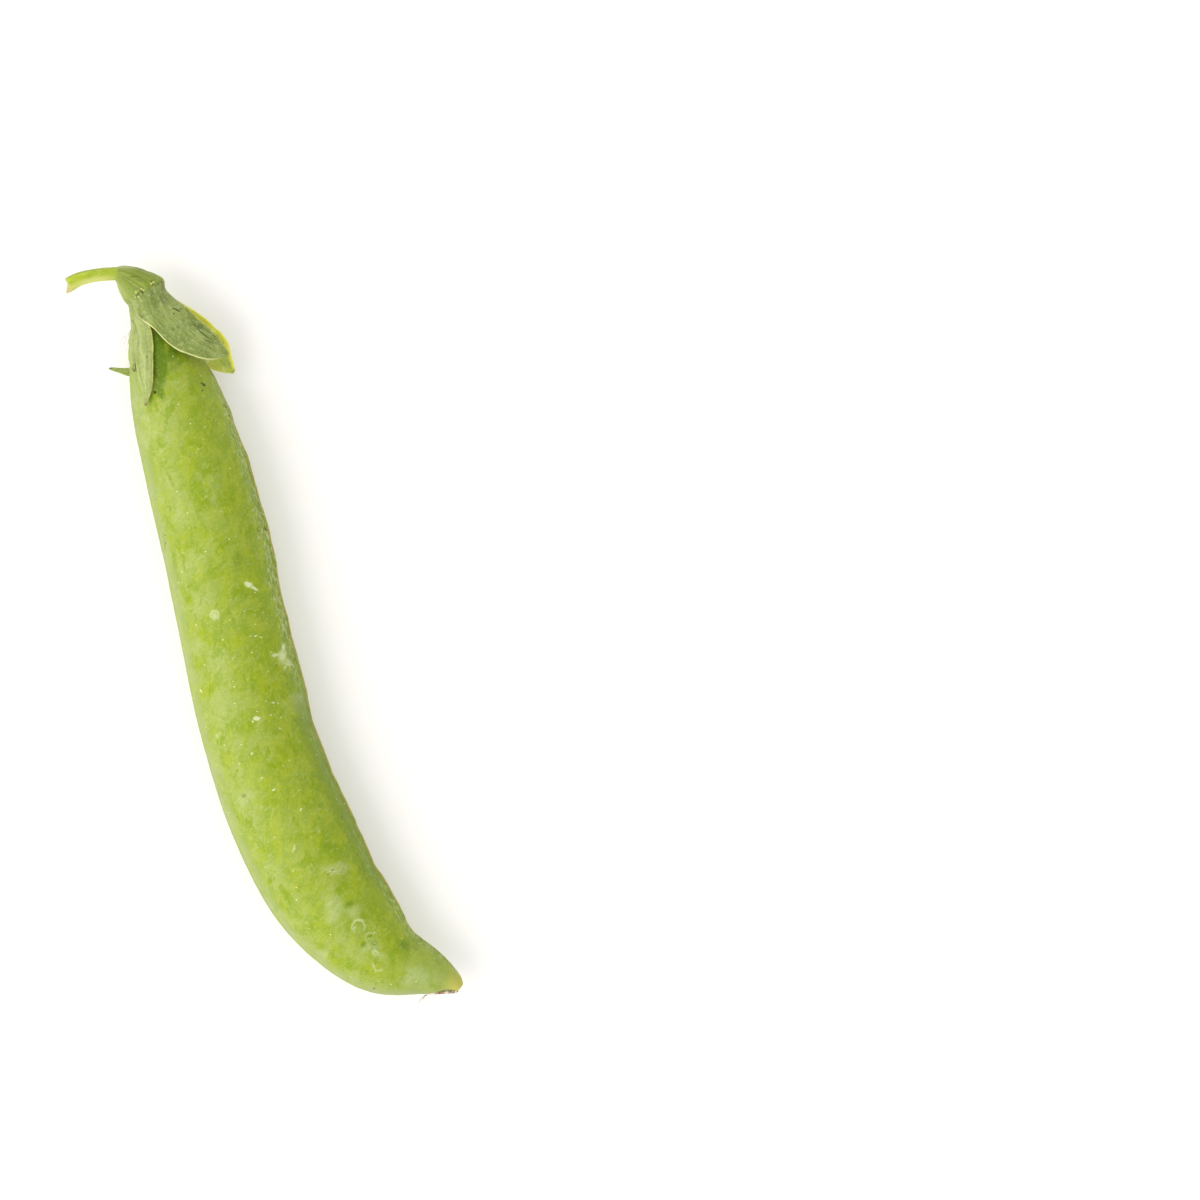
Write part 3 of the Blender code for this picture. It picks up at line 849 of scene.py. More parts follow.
def model_pod(settings):
    piece, place = start_ring("pod_wall", len(section_angles()))
    add_notes(piece, "turn", "height", "along")
    edit(piece)
    shape_section(piece, settings)
    rows, reaches = pod_rows(settings)
    place = move_row(place, rows[0])
    bpy.ops.mesh.edge_face_add()
    for next_row, reach in zip(rows[1:], reaches[1:]):
        place = extrude_to(place, next_row)
        note_selected(piece, "along", reach)
    bpy.ops.mesh.edge_face_add()
    close_edit()
    subdivide(piece)
    across = np.cos(notes(piece, "turn"))
    relief(piece, 6.0, 0.12)
    relief(piece, 1.6, 0.04, stretch=(2.6, 1, 1), turn=26)
    relief(piece, 0.8, 0.16, weights=soft_step(across, 0.76, 0.92), depth=3, stretch=(1, 1.8, 1))
    relief(piece, 0.7, 0.06, weights=soft_step(-across, 0.9, 0.98))
    mark_pod(piece)
    flatten_base(piece)
    return piece


def pod_finish(settings, piece):
    """Waxy green skin: cloudy green, rubbed bloom, a wrinkled silvery flank and a dry line at the seam."""
    made = Finish("pea_pod_skin")
    turn, along = made.note("turn"), made.note("along")
    across = made.math("COSINE", turn)
    clouds = made.noise(5.5)
    patches = made.noise(2.6, 5.0, 0.66)
    mottle = made.noise(1.5, 5.0, 0.62, 0.5, turn=60, stretch=(1.5, 1, 1))
    wander = made.noise(1.3, 4.0, 0.6)
    fleck = made.noise(0.7, rough=0.6)
    grain = made.noise(0.32, rough=0.7)
    streaks = made.noise(0.42, rough=0.6, turn=26, stretch=(5, 1, 1))
    made.coat(settings.fresh)
    made.coat(settings.light, made.step(mottle, 0.42, 0.6))
    made.coat("flecks", made.step(fleck, 0.5, 0.7, 0.0, 0.3))
    # Bloom lies thickest towards the outer seam, and is rubbed off in streaks and patches; its fall-off across
    # the pod is also painted light, paler on the outer side that faces the light and darker on the ventral
    # side that is turned from it
    bloom_and_side_light = made.times(made.step(across, 0.9, -0.95, 0.08, 0.5), made.step(patches, 0.34, 0.6, 0.1, 1.5))
    made.coat(settings.bloom, made.times(bloom_and_side_light, made.step(clouds, 0.36, 0.62, 0.65, 1.35)))
    rubs = made.noise(1.9, 4.0, 0.7, 0.6, turn=66, stretch=(1.5, 1, 1))
    made.coat("rubbed", made.times(made.step(rubs, 0.54, 0.61), made.step(clouds, 0.4, 0.55), 0.75))
    cloud = made.note("cloud")
    thick = made.times(made.step(made.swayed(cloud, patches, 1.6), 0.05, 0.8), made.step(cloud, 0.0, 0.2))
    made.coat("thick bloom", made.times(thick, made.step(streaks, 0.3, 0.6, 0.35, 0.6)))
    # Deeper green patches; those under the calyx's lobes are painted shade
    made.coat("deep green", made.step(made.swayed(made.note("shade"), patches, 0.8), 0.1, 0.9))
    dull = made.step(made.noise(3.6, 2.0), 0.45, 0.6, 0.0, 0.4)
    made.coat("dull streaks", made.times(made.step(streaks, 0.55, 0.72), dull))
    made.coat("pale grain", made.step(grain, 0.52, 0.74, 0.0, 0.4))
    made.coat("dark grain", made.step(grain, 0.46, 0.26, 0.0, 0.4))
    made.coat("beak", made.step(made.swayed(along, mottle, 8.0), 88.0, 95.0, 0.0, 0.35))
    made.coat("beak tip", made.step(along, 95.6, 99.0, 0.0, 0.85))
    # The flank beside the ventral seam is wrinkled and silvery, but plain and deep green lower down, partly as
    # painted shade on that side, which is turned from the light
    edge = made.swayed(across, wander, 0.3)
    lower = made.times(made.step(along, 45.0, 57.0), made.step(along, 86.0, 79.0))
    made.coat("lower flank", made.times(made.step(edge, 0.68, 0.92), lower, 0.6))
    flank = made.times(made.step(edge, 0.8, 0.94), made.math("MULTIPLY_ADD", lower, -0.7, 1.0))
    creases = made.noise(0.3, 3.0, 0.6, 0.3, turn=-12, stretch=(1, 3.5, 1))
    silver = made.mix(made.step(creases, 0.42, 0.62), "creases", "silver")
    made.coat(silver, made.times(flank, made.step(fleck, 0.3, 0.6, 0.15, 0.7)))
    upper = made.step(along, 56.0, 46.0)
    made.coat("crust", made.times(made.step(edge, 0.84, 0.96), upper, made.step(grain, 0.46, 0.38), 0.55))
    flakes = made.times(made.step(fleck, 0.54, 0.64), made.step(mottle, 0.4, 0.6, 0.1, 0.45))
    made.coat("flakes", made.times(made.step(edge, 0.78, 0.9), upper, flakes))
    # The outer side is pale, partly its own tint and partly painted rim light, with a darker line along its
    # rib; the ventral seam has a dry line, with a painted highlight along its crest
    pale = made.times(made.step(edge, -1.0, -0.74, 0.9, 0.0), made.step(mottle, 0.34, 0.6, 1.0, 0.4))
    made.coat("pale back", pale)
    made.coat("outer rib", made.step(made.swayed(turn, wander, 0.04), pi - 0.06, pi - 0.02, 0.0, 0.5))
    broken = made.step(made.noise(1.1), 0.34, 0.5, 0.2, 1.0)
    seam = made.swayed(turn, wander, 0.1)
    made.coat(settings.seam, made.times(made.step(seam, 0.13, 0.07), broken, 0.7))
    # Painted highlight along the ventral seam's crest
    made.coat("seam crest", made.times(made.step(seam, 0.05, 0.02), made.step(patches, 0.3, 0.6, 0.6, 0.95)))
    # Tiny pale specks all over, rare dark dots, and the marks of the tables
    chosen = made.step(made.cells(1.0, "Color"), 0.55, 0.6)
    made.coat("pale specks", made.times(made.step(made.cells(1.0), 0.06, 0.11, 0.9, 0.0), chosen))
    chosen = made.step(made.noise(4.0), 0.5, 0.6)
    made.coat("dark dots", made.times(made.step(made.cells(2.1), 0.04, 0.07, 0.7, 0.0), chosen))
    skin = skin_of(piece)
    # The pale marks include painted highlights on the rims of the water drops
    pale = made.marks(PALE_MARKS_AND_HIGHLIGHTS, made.frayed(0.4, 0.35), skin)
    pale = made.times(pale, made.step(grain, 0.3, 0.55, 0.6, 1.0))
    made.coat("pale marks", made.math("MAXIMUM", pale, made.note("pale_below")))
    dark = made.marks(DARK_MARKS, made.frayed(0.3, 0.5), skin)
    made.coat("dark marks", made.math("MAXIMUM", dark, made.note("dark_below")))
    leather = made.bump(grain, 0.02, Normal=made.bump(fleck, 0.035))
    return made.done(
        Roughness=made.math("MULTIPLY_ADD", flank, 0.12, made.step(mottle, 0.3, 0.7, 0.38, 0.5)),
        Specular_IOR_Level=0.22, Subsurface_Weight=0.15, Subsurface_Radius=(0.9, 1.0, 0.25),
        Subsurface_Scale=0.001, Normal=made.bump(streaks, 0.02, Normal=leather))


class PEAPOD_OT_pod(Operator):
    """Model the pod's two walls with their seams, beak, marks and skin"""
    bl_idname = "pea_pod.pod"
    bl_label = "Pod"
    bl_options = {"REGISTER", "UNDO"}

    def execute(self, context):
        settings = context.scene.pea_pod.pod
        piece = model_pod(settings)
        finish_piece(piece, "pod_skin", pod_finish(settings, piece), "pod")
        return {"FINISHED"}


def cup_rows():
    rings = []
    for x, y, radius, turn in CUP_RINGS:
        way = (cos(radians(turn)), sin(radians(turn)), 0)
        rings.append(row((x, y, POD_HEIGHT), way, UP, radius, radius * CUP_FLATNESS))
    return rings


def lobe_rows(lobe, rim):
    """A lobe's rows from the cup's rim to its tip: a middle line, its half width and how far it bows."""
    middle_turn = radians((lobe.start + lobe.end) / 2)
    spread = radians(lobe.end - lobe.start) / 2
    outward = rim.axes.col[0] * cos(middle_turn) + rim.axes.col[1] * sin(middle_turn)
    root = rim.middle / MM + rim.axes.col[0] * cos(middle_turn) * rim.half_width / MM
    root += rim.axes.col[1] * sin(middle_turn) * rim.half_height / MM
    radius = rim.half_width / MM
    stations = [(*root, radius * sin(spread), radius * (1 - cos(spread)), *outward)]
    for i, (x, y, z, half_width) in enumerate(lobe.rows):
        face = Vector(lobe.root_face).lerp(Vector(lobe.tip_face), i / (len(lobe.rows) - 1))
        stations.append((x, y, z, half_width, max(LEAST_BOW, half_width * lobe.bow), *face))
    stations = smooth_rows(stations, LOBE_STEPS)
    middles = [Vector(station[:3]) for station in stations]
    ways = headings(middles)
    ways[0] = rim.axes.col[2]
    return [row(middle, way, station[5:8], station[3], station[4])
            for middle, way, station in zip(middles, ways, stations)]


def turn_round(across, up):
    """The angle in degrees round the cup, from the ventral side and up, that starts at the first lobe."""
    first = min(lobe.start for lobe in LOBES.values()) - 0.1
    return (degrees(atan2(up, across)) - first) % 360 + first


def rim_turn(place, rim):
    across, up, _ = rim.axes.col
    offset = place - rim.middle
    return turn_round(offset.dot(across) / rim.half_width, offset.dot(up) / rim.half_height)


def select_rim(piece, lobe, rim):
    """Selects the edges of the cup's rim that a lobe grows from."""
    bpy.ops.mesh.select_all(action="DESELECT")
    mesh = bmesh.from_edit_mesh(piece.data)
    for edge in mesh.edges:
        ends = [point.co for point in edge.verts]
        off_rim = max(abs((end - rim.middle).dot(rim.axes.col[2])) for end in ends)
        turn = rim_turn(ends[0].lerp(ends[1], 0.5), rim)
        if off_rim < RIM_TOLERANCE and lobe.start < turn < lobe.end:
            edge.select_set(True)
    bmesh.update_edit_mesh(piece.data)


def model_lobe(piece, lobe, rim):
    """Extrudes a lobe from its stretch of the cup's rim, row by row to the tip."""
    select_rim(piece, lobe, rim)
    rows = lobe_rows(lobe, rim)
    place = rows[0]
    middle, spread = (lobe.start + lobe.end) / 2, sin(radians(lobe.end - lobe.start) / 2)
    for i, next_row in enumerate(rows[1:], 1):
        place = extrude_to(place, next_row)
        across = place.axes.col[0] / place.half_width
        note_selected(piece, "reach", i / (len(rows) - 1))
        note_selected(piece, "turn", lambda point: middle - degrees(asin(
            max(-1.0, min(1.0, (point - place.middle).dot(across))) * spread)))


def note_lobes(piece):
    """Works out for each point how near it is to its lobe's margin, how yellow and how bleached it is."""
    turn, reach = notes(piece, "turn"), notes(piece, "reach")
    margin, gilt, bleach = np.ones(len(turn)), np.zeros(len(turn)), np.zeros(len(turn))
    for lobe in LOBES.values():
        inside = (turn >= lobe.start - 0.5) & (turn <= lobe.end + 0.5)
        side = 2 * (turn - lobe.start) / (lobe.end - lobe.start) - 1
        margin = np.where(inside, np.clip(np.abs(side), 0, 1), margin)
        depth = np.where(side < 0, lobe.gilt[0], lobe.gilt[1])
        gilt = np.where(inside, soft_step(np.abs(side), 1 - depth, 1.0 + depth * 0.3), gilt)
        bleach = np.where(inside, lobe.bleach, bleach)
    write_notes(piece, "margin", margin)
    write_notes(piece, "gilt", gilt * soft_step(reach, -0.15, 0.15))
    write_notes(piece, "bleach", bleach * soft_step(reach, -0.5, 0.15))


def line_share(turn, reach, middle, first, last):
    """A line along the calyx at an angle round it, between two reaches, that wavers a little."""
    waver = 1.6 * np.sin(9 * reach + middle) + 0.9 * np.sin(23 * reach + 2 * middle)
    ends = soft_step(reach, first - 0.06, first + 0.06) * (1 - soft_step(reach, last - 0.1, last + 0.05))
    return hill(turn - middle - waver, VEIN_HALF) * ends


def crease_calyx(piece):
    """Raises the folds of the cup, and the veins and sunken lines of the lobes."""
    turn, reach = notes(piece, "turn"), notes(piece, "reach")
    on_cup = np.clip(-reach, 0, 1)
    for at_rim, at_stalk, half, height in CUP_FOLDS:
        middle = at_rim + (at_stalk - at_rim) * on_cup
        away = (turn - middle + 180) % 360 - 180
        share = hill(away, half * (1 + on_cup)) * (1 - soft_step(on_cup, 0.75, 0.95))
        swell(piece, height, share * (1 - soft_step(reach, -0.1, 0.25)))
    raised, sunk = np.zeros(len(turn)), np.zeros(len(turn))
    for middle, first, last, depth in CALYX_VEINS:
        line = line_share(turn, reach, middle, first, last) * depth / VEIN_DEPTH
        raised, sunk = np.maximum(raised, -line), np.maximum(sunk, line)
    swell(piece, -VEIN_DEPTH, sunk)
    swell(piece, VEIN_DEPTH, raised)
    write_notes(piece, "vein", raised - sunk)


def pit_collar(piece):
    """Raises clusters of tiny pitted lumps on the upper side of the collar."""
    spots = places(piece)
    pits = marks_share(spots, COLLAR_PITS) * (spots[:, 2] > POD_HEIGHT)
    swell(piece, 0.1, pits)
    relief(piece, 0.22, 0.4, weights=pits)
    write_notes(piece, "pit", pits)


def model_calyx(settings):
    piece, place = start_ring("calyx_leaf", CUP_SIDES)
    add_notes(piece, "turn", "reach")
    rings = cup_rows()
    edit(piece)
    note_selected(piece, "turn", lambda point: turn_round(point.x, point.y))
    place = move_row(place, rings[0])
    note_selected(piece, "reach", -1.0)
    for i, ring in enumerate(rings[1:], 1):
        place = extrude_to(place, ring)
        note_selected(piece, "reach", -1 + i / (len(rings) - 1))
    for lobe in LOBES.values():
        model_lobe(piece, lobe, place)
    close_edit()
    apply_modifier(piece, "SOLIDIFY", thickness=settings.thickness, offset=0.0)
    subdivide(piece)
    note_lobes(piece)
    crease_calyx(piece)
    margin, reach = notes(piece, "margin"), notes(piece, "reach")
    leafy = soft_step(reach, -0.2, 0.2)
    swell(piece, 0.05, soft_step(margin, 0.88, 0.99) * leafy)
    relief(piece, 0.8, 0.12, weights=leafy * (1 - margin ** 4), depth=3)
    relief(piece, 2.4, 0.3, weights=soft_step(reach, 0.0, 0.4))
    relief(piece, 0.9, 0.14, weights=1 - leafy, depth=3)
    pit_collar(piece)
    return piece


def calyx_finish(settings, piece):
    """Leafy green with veins, yellow margins, bleached lobes, yellow pits on the collar and dry tips."""
    made = Finish("pea_pod_calyx")
    reach, turn, bleach, pit = [made.note(name) for name in ("reach", "turn", "bleach", "pit")]
    clouds = made.noise(2.0, 4.0, 0.6)
    fine = made.noise(0.35, 4.0, 0.68)
    flow = made.add("ShaderNodeCombineXYZ", [made.times(turn, 1 / 6), made.times(reach, 2.5)])
    inputs = {"Vector": flow.outputs["Vector"], "Scale": 1.0, "Detail": 4.0}
    lines = made.add("ShaderNodeTexNoise", inputs).outputs["Fac"]
    made.coat(settings.leaf)
    made.coat("leaf clouds", made.step(clouds, 0.35, 0.65))
    made.coat(settings.bleached, made.times(bleach, made.step(clouds, 0.2, 0.7, 0.7, 1.0)))
    made.coat("light flow", made.step(lines, 0.52, 0.7, 0.0, 0.4))
    made.coat("dark flow", made.step(lines, 0.45, 0.3, 0.0, 0.4))
    thin = made.step(made.distance(lines, 0.46), 0.012, 0.0)
    made.coat("thin lines", made.times(thin, made.step(clouds, 0.4, 0.6), 0.75))
    made.coat("light leaf", made.step(fine, 0.52, 0.68, 0.0, 0.5))
    made.coat("dark leaf", made.step(fine, 0.45, 0.28, 0.0, 0.5))
    made.coat("grit", made.times(made.step(made.cells(0.4), 0.2, 0.1), made.step(clouds, 0.42, 0.55), 0.2))
    vein = made.note("vein")
    made.coat("veins", made.step(vein, 0.1, 0.8, 0.0, 0.5))
    made.coat("furrows", made.step(vein, -0.1, -0.7, 0.0, 0.7))
    yellow = made.mix(made.step(clouds, 0.35, 0.65), settings.margin, "old margin")
    made.coat(yellow, made.step(made.swayed(made.note("gilt"), fine, 0.9), 0.3, 0.75, 0.0, 0.95))
    on_lobes = made.step(reach, -0.02, 0.08, 0.0, 0.75)
    made.coat("rim", made.times(made.step(made.note("margin"), 0.93, 0.99), on_lobes))
    # The cup is darker at the collar, pale below with a painted highlight on the side that faces the light,
    # and takes the stalk's greens where it leaves the stalk
    collar = made.times(made.step(reach, -0.3, -0.42), made.step(reach, -0.8, -0.6))
    made.coat("collar", made.times(collar, made.step(clouds, 0.3, 0.55, 0.4, 0.9)))
    made.coat("neck", made.step(reach, -0.58, -0.82, 0.0, 0.85))
    made.coat("cup", made.times(made.step(reach, -0.42, -0.52), made.step(reach, -1.0, -0.9), 0.45))
    bent = made.math("MULTIPLY_ADD", reach, 0.9, made.times(clouds, 1.6))
    inputs = {"W": made.math("MULTIPLY_ADD", turn, 0.075, bent), "Scale": 1.0, "Detail": 3.0}
    ridges = made.add("ShaderNodeTexNoise", inputs, noise_dimensions="1D").outputs["Fac"]
    on_cup = made.times(made.step(reach, -0.35, -0.5), made.step(reach, -1.05, -0.9))
    made.coat("cup ridges", made.times(on_cup, made.step(ridges, 0.54, 0.7, 0.0, 0.4)))
    made.coat("cup furrows", made.times(on_cup, made.step(ridges, 0.44, 0.32, 0.0, 0.6)))
    top = made.times(made.step(turn, 60.0, 30.0), made.step(turn, -30.0, 0.0))
    made.coat("cup top", made.times(top, made.step(reach, -0.6, -0.75), 0.7))
    # Painted highlight on the side of the cup that faces the light
    below = made.times(made.step(turn, 112.0, 150.0), made.step(turn, 225.0, 200.0))
    below = made.times(below, made.step(reach, -0.3, -0.5), made.step(fine, 0.3, 0.6, 0.35, 0.8))
    made.coat("cup below", below)
    made.coat("pits", made.times(made.step(pit, 0.1, 0.7), made.step(fine, 0.55, 0.35)))
    crumbs = made.times(made.step(made.cells(0.48), 0.45, 0.15), made.step(clouds, 0.35, 0.55, 0.4, 1.0))
    made.coat("crumbs", made.times(made.step(pit, 0.1, 0.5), crumbs))
    frayed, skin = made.frayed(0.4, 0.3), skin_of(piece)
    made.coat("rust", made.marks(RUST_MARKS, frayed, skin))
    # Dark specks, and painted shade along the fine folds
    made.coat("bruises", made.marks(DARK_SPECKS_AND_FOLD_SHADE, frayed, skin))
    tip = made.step(made.swayed(reach, fine, 0.1), 0.95, 1.0, 0.0, 0.9)
    made.coat("leaf tips", made.times(tip, made.step(made.distance(turn, 63.0), 50.0, 62.0, 0.1, 1.0)))
    return made.done(
        Roughness=made.step(clouds, 0.2, 0.8, 0.5, 0.62), Specular_IOR_Level=0.35,
        Subsurface_Weight=made.step(bleach, 0.8, 0.95, 0.2, 0.75), Subsurface_Radius=(0.9, 1.0, 0.35),
        Subsurface_Scale=0.0016, Normal=made.bump(lines, 0.05, Normal=made.bump(fine, 0.05)))


class PEAPOD_OT_calyx(Operator):
    """Model the calyx: its swollen cup and the five lobes that grow from its rim"""
    bl_idname = "pea_pod.calyx"
    bl_label = "Calyx"
    bl_options = {"REGISTER", "UNDO"}

    def execute(self, context):
        settings = context.scene.pea_pod.calyx
        piece = model_calyx(settings)
        finish_piece(piece, "calyx_leaf", calyx_finish(settings, piece), "calyx")
        return {"FINISHED"}


def strand_rows(stations, steps):
    """Round rows along stations of x, y, z and radius."""
    stations = smooth_rows(stations, steps)
    middles = [Vector(station[:3]) for station in stations]
    return [row(middle, way, UP, station[3], station[3])
            for middle, way, station in zip(middles, headings(middles), stations)]


def model_strand(name, rows, sides):
    """A closed round strand through the rows, open in edit mode with its last end selected."""
    piece, place = start_ring(name, sides)
    add_notes(piece, "along", "side")
    edit(piece)
    note_selected(piece, "side", lambda point: point.x)
    place = move_row(place, rows[0])
    bpy.ops.mesh.edge_face_add()
    for i, next_row in enumerate(rows[1:], 1):
        place = extrude_to(place, next_row)
        note_selected(piece, "along", i / (len(rows) - 1))
    bpy.ops.mesh.edge_face_add()
    return piece, place


def model_stalk():
    rows = strand_rows(STALK_STATIONS[::-1], STRAND_STEPS)
    end = rows.pop()
    rows.append(row(end.middle / MM, CUT_HEADING, UP, end.half_width / MM, end.half_height / MM))
    piece, place = model_strand("stalk_stem", rows, STALK_SIDES)
    # The cut end has a rounded edge, a sunken rind and a raised middle
    bpy.ops.mesh.inset(thickness=CUT_EDGE * MM, depth=0)
    bpy.ops.mesh.inset(thickness=CUT_RIND * MM, depth=0)
    bpy.ops.transform.translate(value=place.axes.col[2] * -CUT_SINK * MM)
    note_selected(piece, "along", 2.0)
    bpy.ops.mesh.inset(thickness=CUT_PITH * MM, depth=0)
    bpy.ops.transform.translate(value=place.axes.col[2] * PITH_RISE * MM)
    close_edit()
    subdivide(piece)
    stem = 1 - soft_step(notes(piece, "along"), 0.97, 1.0)
    relief(piece, 0.5, 0.1, weights=stem, stretch=(6, 1, 1), turn=-8)
    relief(piece, 0.35, 0.16, weights=1 - stem, depth=3)
    relief(piece, 2.5, 0.12)
    return piece


def stalk_finish(settings):
    """Lime green with fine lengthwise lines, pale on one side with painted light where the light falls on it
    and shines through it, with a dry cut end.
    """
    made = Finish("pea_pod_stalk")
    along = made.note("along")
    lines = made.noise(0.3, turn=-6, stretch=(8, 1, 1))
    clouds = made.noise(2.0, 4.0)
    across = made.swayed(made.note("side"), clouds, 0.8)
    made.coat(settings.skin)
    made.coat("stalk clouds", made.step(clouds, 0.35, 0.65))
    # Painted light: the pale side stands for the light that falls on the stalk and shines through it
    made.coat(settings.pale, made.step(across, -0.1, 0.8, 0.0, 0.85))
    made.coat("stalk shade", made.step(across, -0.65, -1.0, 0.0, 0.6))
    made.coat("light lines", made.step(lines, 0.5, 0.7, 0.0, 0.4))
    made.coat("dark lines", made.step(lines, 0.45, 0.3, 0.0, 0.3))
    made.coat("stalk root", made.step(along, 0.45, 0.15, 0.0, 0.85))
    made.coat("stalk end", made.step(made.swayed(along, clouds, 0.16), 0.86, 1.0, 0.0, 0.7))
    crumbs = made.noise(0.22, rough=0.7)
    dry = made.mix(made.step(crumbs, 0.42, 0.6), "rind", settings.pith)
    made.coat(dry, made.step(made.swayed(along, crumbs, 0.3), 0.93, 1.02))
    return made.done(
        Roughness=made.step(lines, 0.2, 0.8, 0.38, 0.5), Specular_IOR_Level=0.4,
        Subsurface_Weight=0.5, Subsurface_Radius=(1.0, 1.0, 0.3), Subsurface_Scale=0.001,
        Normal=made.bump(lines, 0.05))


class PEAPOD_OT_stalk(Operator):
    """Model the bent stalk with its cut end"""
    bl_idname = "pea_pod.stalk"
    bl_label = "Stalk"
    bl_options = {"REGISTER", "UNDO"}

    def execute(self, context):
        finish_piece(model_stalk(), "stalk_skin", stalk_finish(context.scene.pea_pod.stalk), "stalk")
        return {"FINISHED"}


def model_threads(name, lines, radius):
    """Fine dry threads that thin to their tips, each modelled as a strand and all joined in one piece."""
    threads = []
    for points in lines:
        last = len(points) - 1
        stations = [(*point, radius * (1 - 0.5 * i / last)) for i, point in enumerate(points)]
        thread, _ = model_strand(name, strand_rows(stations, THREAD_STEPS), THREAD_SIDES)
        close_edit()
        subdivide(thread, 1)
        threads.append(thread)
    return join(threads, name)


def join(pieces, name):
    pick(*pieces)
    bpy.ops.object.join()
    return name_new(name)


def model_style():
    """The withered style: a wrinkled strand under the beak that frays into two threads."""
    piece, _ = model_strand("dry_style_strand", strand_rows(STYLE_STATIONS, STRAND_STEPS), STYLE_SIDES)
    close_edit()
    subdivide(piece)
    relief(piece, 0.35, 0.07, depth=3)
    relief(piece, 1.2, 0.16)
    threads = model_threads("style_threads", STYLE_THREADS, STYLE_THREAD_RADIUS)
    return join([piece, threads], "style_remnant")


def dry_finish(settings):
    """Withered tissue: papery white above, brown in its folds and below."""
    made = Finish("pea_pod_dry")
    fine = made.noise(0.3, 4.0, 0.65)
    made.coat(settings.dry)
    made.coat(settings.papery, made.step(made.noise(1.2), 0.35, 0.6))
    made.coat("brown folds", made.step(fine, 0.54, 0.4, 0.0, 0.85))
    return made.done(
        Roughness=made.step(fine, 0.2, 0.8, 0.7, 0.9), Specular_IOR_Level=0.3, Normal=made.bump(fine, 0.08))


class PEAPOD_OT_style(Operator):
    """Model the withered style under the beak, and the dry threads beside it and at the calyx"""
    bl_idname = "pea_pod.style"
    bl_label = "Style and Threads"
    bl_options = {"REGISTER", "UNDO"}

    def execute(self, context):
        finish = dry_finish(context.scene.pea_pod.style)
        finish_piece(model_style(), "dry_style", finish, "withered_style")
        threads = model_threads("calyx_threads", CALYX_THREADS, THREAD_RADIUS)
        finish_piece(threads, "dry_style", finish)
        return {"FINISHED"}


def model_drop(segments, rings):
    """A dome of water of radius 1 m with a flat underside, to be sized where it lies."""
    pick()
    bpy.ops.mesh.primitive_uv_sphere_add(segments=segments, ring_count=rings, radius=1.0, location=(0, 0, 0))
    drop = bpy.context.object
    edit(drop)
    bpy.ops.mesh.bisect(plane_co=(0, 0, DROP_CUT), plane_no=(0, 0, 1), use_fill=True, clear_inner=True)
    close_edit()
    return drop


def lay_drop(pattern, skin, x, y, length, width, turn):
    """A copy of the pattern, sized and laid on the skin."""
    drop = pattern.copy()
    drop.data = pattern.data.copy()
    bpy.context.scene.collection.objects.link(drop)
    place, way = skin_at(skin, x, y)
    if place is None:
        raise RuntimeError(f"a drop at {x:.1f}, {y:.1f} mm doesn't lie on the pod")
    drop.scale = Vector((length / 2, width / 2, (length + width) / 2 * DROP_HEIGHT_SHARE)) * MM
    drop.rotation_mode = "QUATERNION"
    turned = Matrix.Rotation(radians(turn), 3, "Z").to_quaternion()
    drop.rotation_quaternion = UP.rotation_difference(way) @ turned
    drop.location = place
    pick(drop)
    bpy.ops.object.transform_apply(location=True, rotation=True, scale=True)
    return drop


def model_drops(settings):
    pod = bpy.data.objects.get("pod_wall")
    if pod is None:
        raise RuntimeError("the drops lie on the pod, so the pod is modelled first")
    skin = skin_of(pod)
    large, small = model_drop(32, 16), model_drop(10, 6)
    drops = [lay_drop(large, skin, *sizes) for sizes in DROPS]
    rng = random.Random(BEAD_SEED)
    stations = smooth_rows(POD_STATIONS, POD_STEPS)
    for _ in range(settings.beads):
        y = rng.uniform(*BEAD_BAND_Y)
        x, _, half_width, _ = min(stations, key=lambda station: abs(station[1] - y))
        size = rng.uniform(*BEAD_SIZES)
        x += rng.uniform(-0.8, 0.85) * half_width
        drops.append(lay_drop(small, skin, x, y, size * rng.uniform(1.0, 1.5), size, rng.uniform(0, 180)))
    for pattern in (large, small):
        bpy.data.objects.remove(pattern)
    piece = join(drops, "water_drops")
    piece.visible_shadow = False
    return piece


def water_finish():
    """Clear water with a faint waviness, so that each drop catches the light a little differently."""
    made = Finish("pea_pod_water")
    ripple = made.noise(0.8, 2.0)
    made.coat((0.96, 1.0, 0.94))
    made.coat((1.0, 1.0, 1.0), ripple)
    return made.done(
        Roughness=made.step(ripple, 0.2, 0.8, 0.0, 0.05), Transmission_Weight=1.0, IOR=1.33,
        Normal=made.bump(ripple, 0.01))


class PEAPOD_OT_drops(Operator):
    """Lay drops and tiny beads of water on the pod's upper side"""
    bl_idname = "pea_pod.drops"
    bl_label = "Water Drops"
    bl_options = {"REGISTER", "UNDO"}

    def execute(self, context):
        finish_piece(model_drops(context.scene.pea_pod.drops), "water_drops", water_finish())
        return {"FINISHED"}


def floor_finish(settings):
    """A pale, matt surface that glows a little, as a light table does."""
    made = Finish("pale_floor")
    made.coat(settings.floor)
    made.coat((0.72, 0.71, 0.69), made.step(made.noise(40.0), 0.3, 0.7, 0.0, 0.02))
    return made.done(
        Roughness=0.9, Specular_IOR_Level=0.1, Emission_Color=(1.0, 0.975, 0.94),
        Emission_Strength=settings.glow)


def add_key_light(power):
    """A square soft light that shines on the pod from the picture's left."""
    pick()
    way = (-PICTURE_RIGHT - PICTURE_UP * 0.35 + UP * 1.05).normalized()
    bpy.ops.object.light_add(
        type="AREA", location=way * KEY_DISTANCE, rotation=way.to_track_quat("Z", "Y").to_euler())
    light = name_new("key_light")
    light.data.energy = power
    light.data.size = KEY_SIZE
    light.data.color = (1.0, 0.985, 0.96)
    light.visible_camera = False


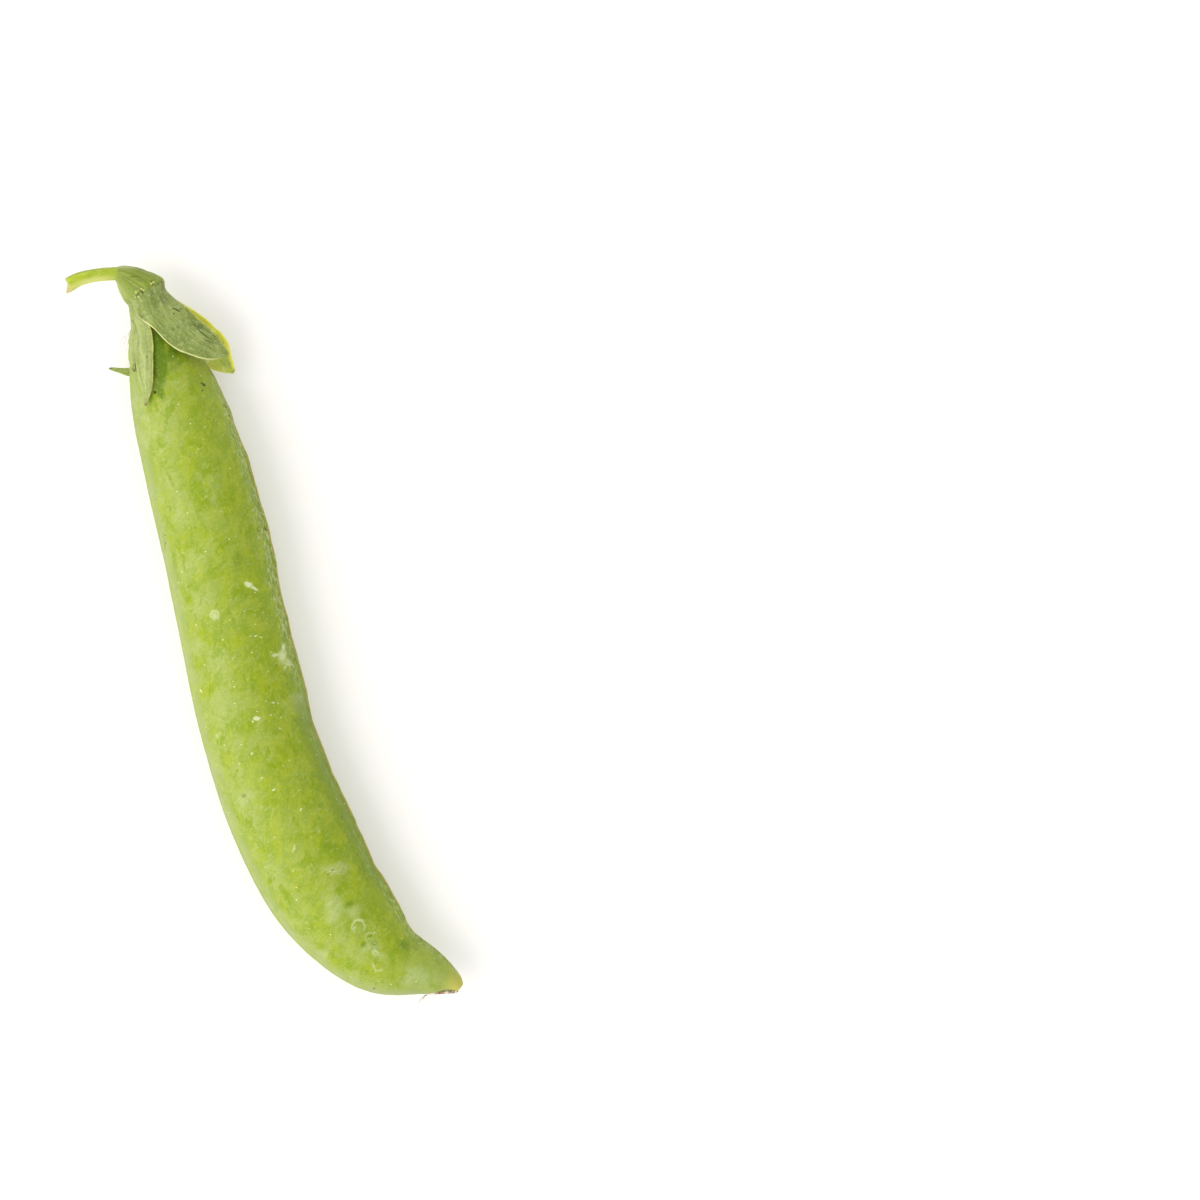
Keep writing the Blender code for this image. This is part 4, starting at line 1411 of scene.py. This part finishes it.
class PEAPOD_OT_stage(Operator):
    """Set the pale floor, the soft light and the camera that looks straight down"""
    bl_idname = "pea_pod.stage"
    bl_label = "Stage"
    bl_options = {"REGISTER", "UNDO"}

    def execute(self, context):
        settings = context.scene.pea_pod.stage
        pick()
        bpy.ops.mesh.primitive_plane_add(size=4, location=(0, 0, 0))
        floor = name_new("pale_floor")
        floor.data.materials.append(floor_finish(settings))
        add_key_light(settings.key_power)
        world = bpy.data.worlds.new("soft_sky")
        world.use_nodes = True
        background = world.node_tree.nodes["Background"]
        background.inputs["Color"].default_value = (0.97, 0.98, 1.0, 1.0)
        background.inputs["Strength"].default_value = settings.sky
        context.scene.world = world
        context.scene.view_settings.view_transform = "Standard"
        bpy.ops.object.camera_add(
            location=Vector(PICTURE_MIDDLE) * MM + UP * CAMERA_DISTANCE, rotation=(0, 0, -PICTURE_TURN))
        camera = name_new("camera_above")
        camera.data.sensor_width = SENSOR_WIDTH
        camera.data.lens = SENSOR_WIDTH * CAMERA_DISTANCE / settings.field
        camera.data.clip_start = 0.05
        camera.data.clip_end = 10
        context.scene.camera = camera
        return {"FINISHED"}


class PEAPOD_PT_panel(Panel):
    """Lists the pieces of the pea pod and the values they are made from"""
    bl_label = "Garden Pea Pod"
    bl_idname = "PEAPOD_PT_panel"
    bl_space_type = "VIEW_3D"
    bl_region_type = "UI"
    bl_category = "Pea Pod"

    def draw(self, context):
        settings = context.scene.pea_pod
        for group in settings.__annotations__:
            box = self.layout.box()
            box.operator("pea_pod." + group)
            values = getattr(settings, group)
            for name in values.__annotations__:
                box.prop(values, name)


CLASSES = (
    PodSettings, CalyxSettings, StalkSettings, StyleSettings, DropSettings, StageSettings, PeaPodSettings,
    PEAPOD_OT_pod, PEAPOD_OT_calyx, PEAPOD_OT_stalk, PEAPOD_OT_style, PEAPOD_OT_drops, PEAPOD_OT_stage,
    PEAPOD_PT_panel,
)
def register():
    for cls in CLASSES:
        bpy.utils.register_class(cls)
    bpy.types.Scene.pea_pod = PointerProperty(type=PeaPodSettings)


def unregister():
    del bpy.types.Scene.pea_pod
    for cls in reversed(CLASSES):
        bpy.utils.unregister_class(cls)


def main():
    register()
    bpy.ops.pea_pod.pod()
    bpy.ops.pea_pod.calyx()
    bpy.ops.pea_pod.stalk()
    bpy.ops.pea_pod.style()
    bpy.ops.pea_pod.drops()
    bpy.ops.pea_pod.stage()


if __name__ == "__main__":
    main()
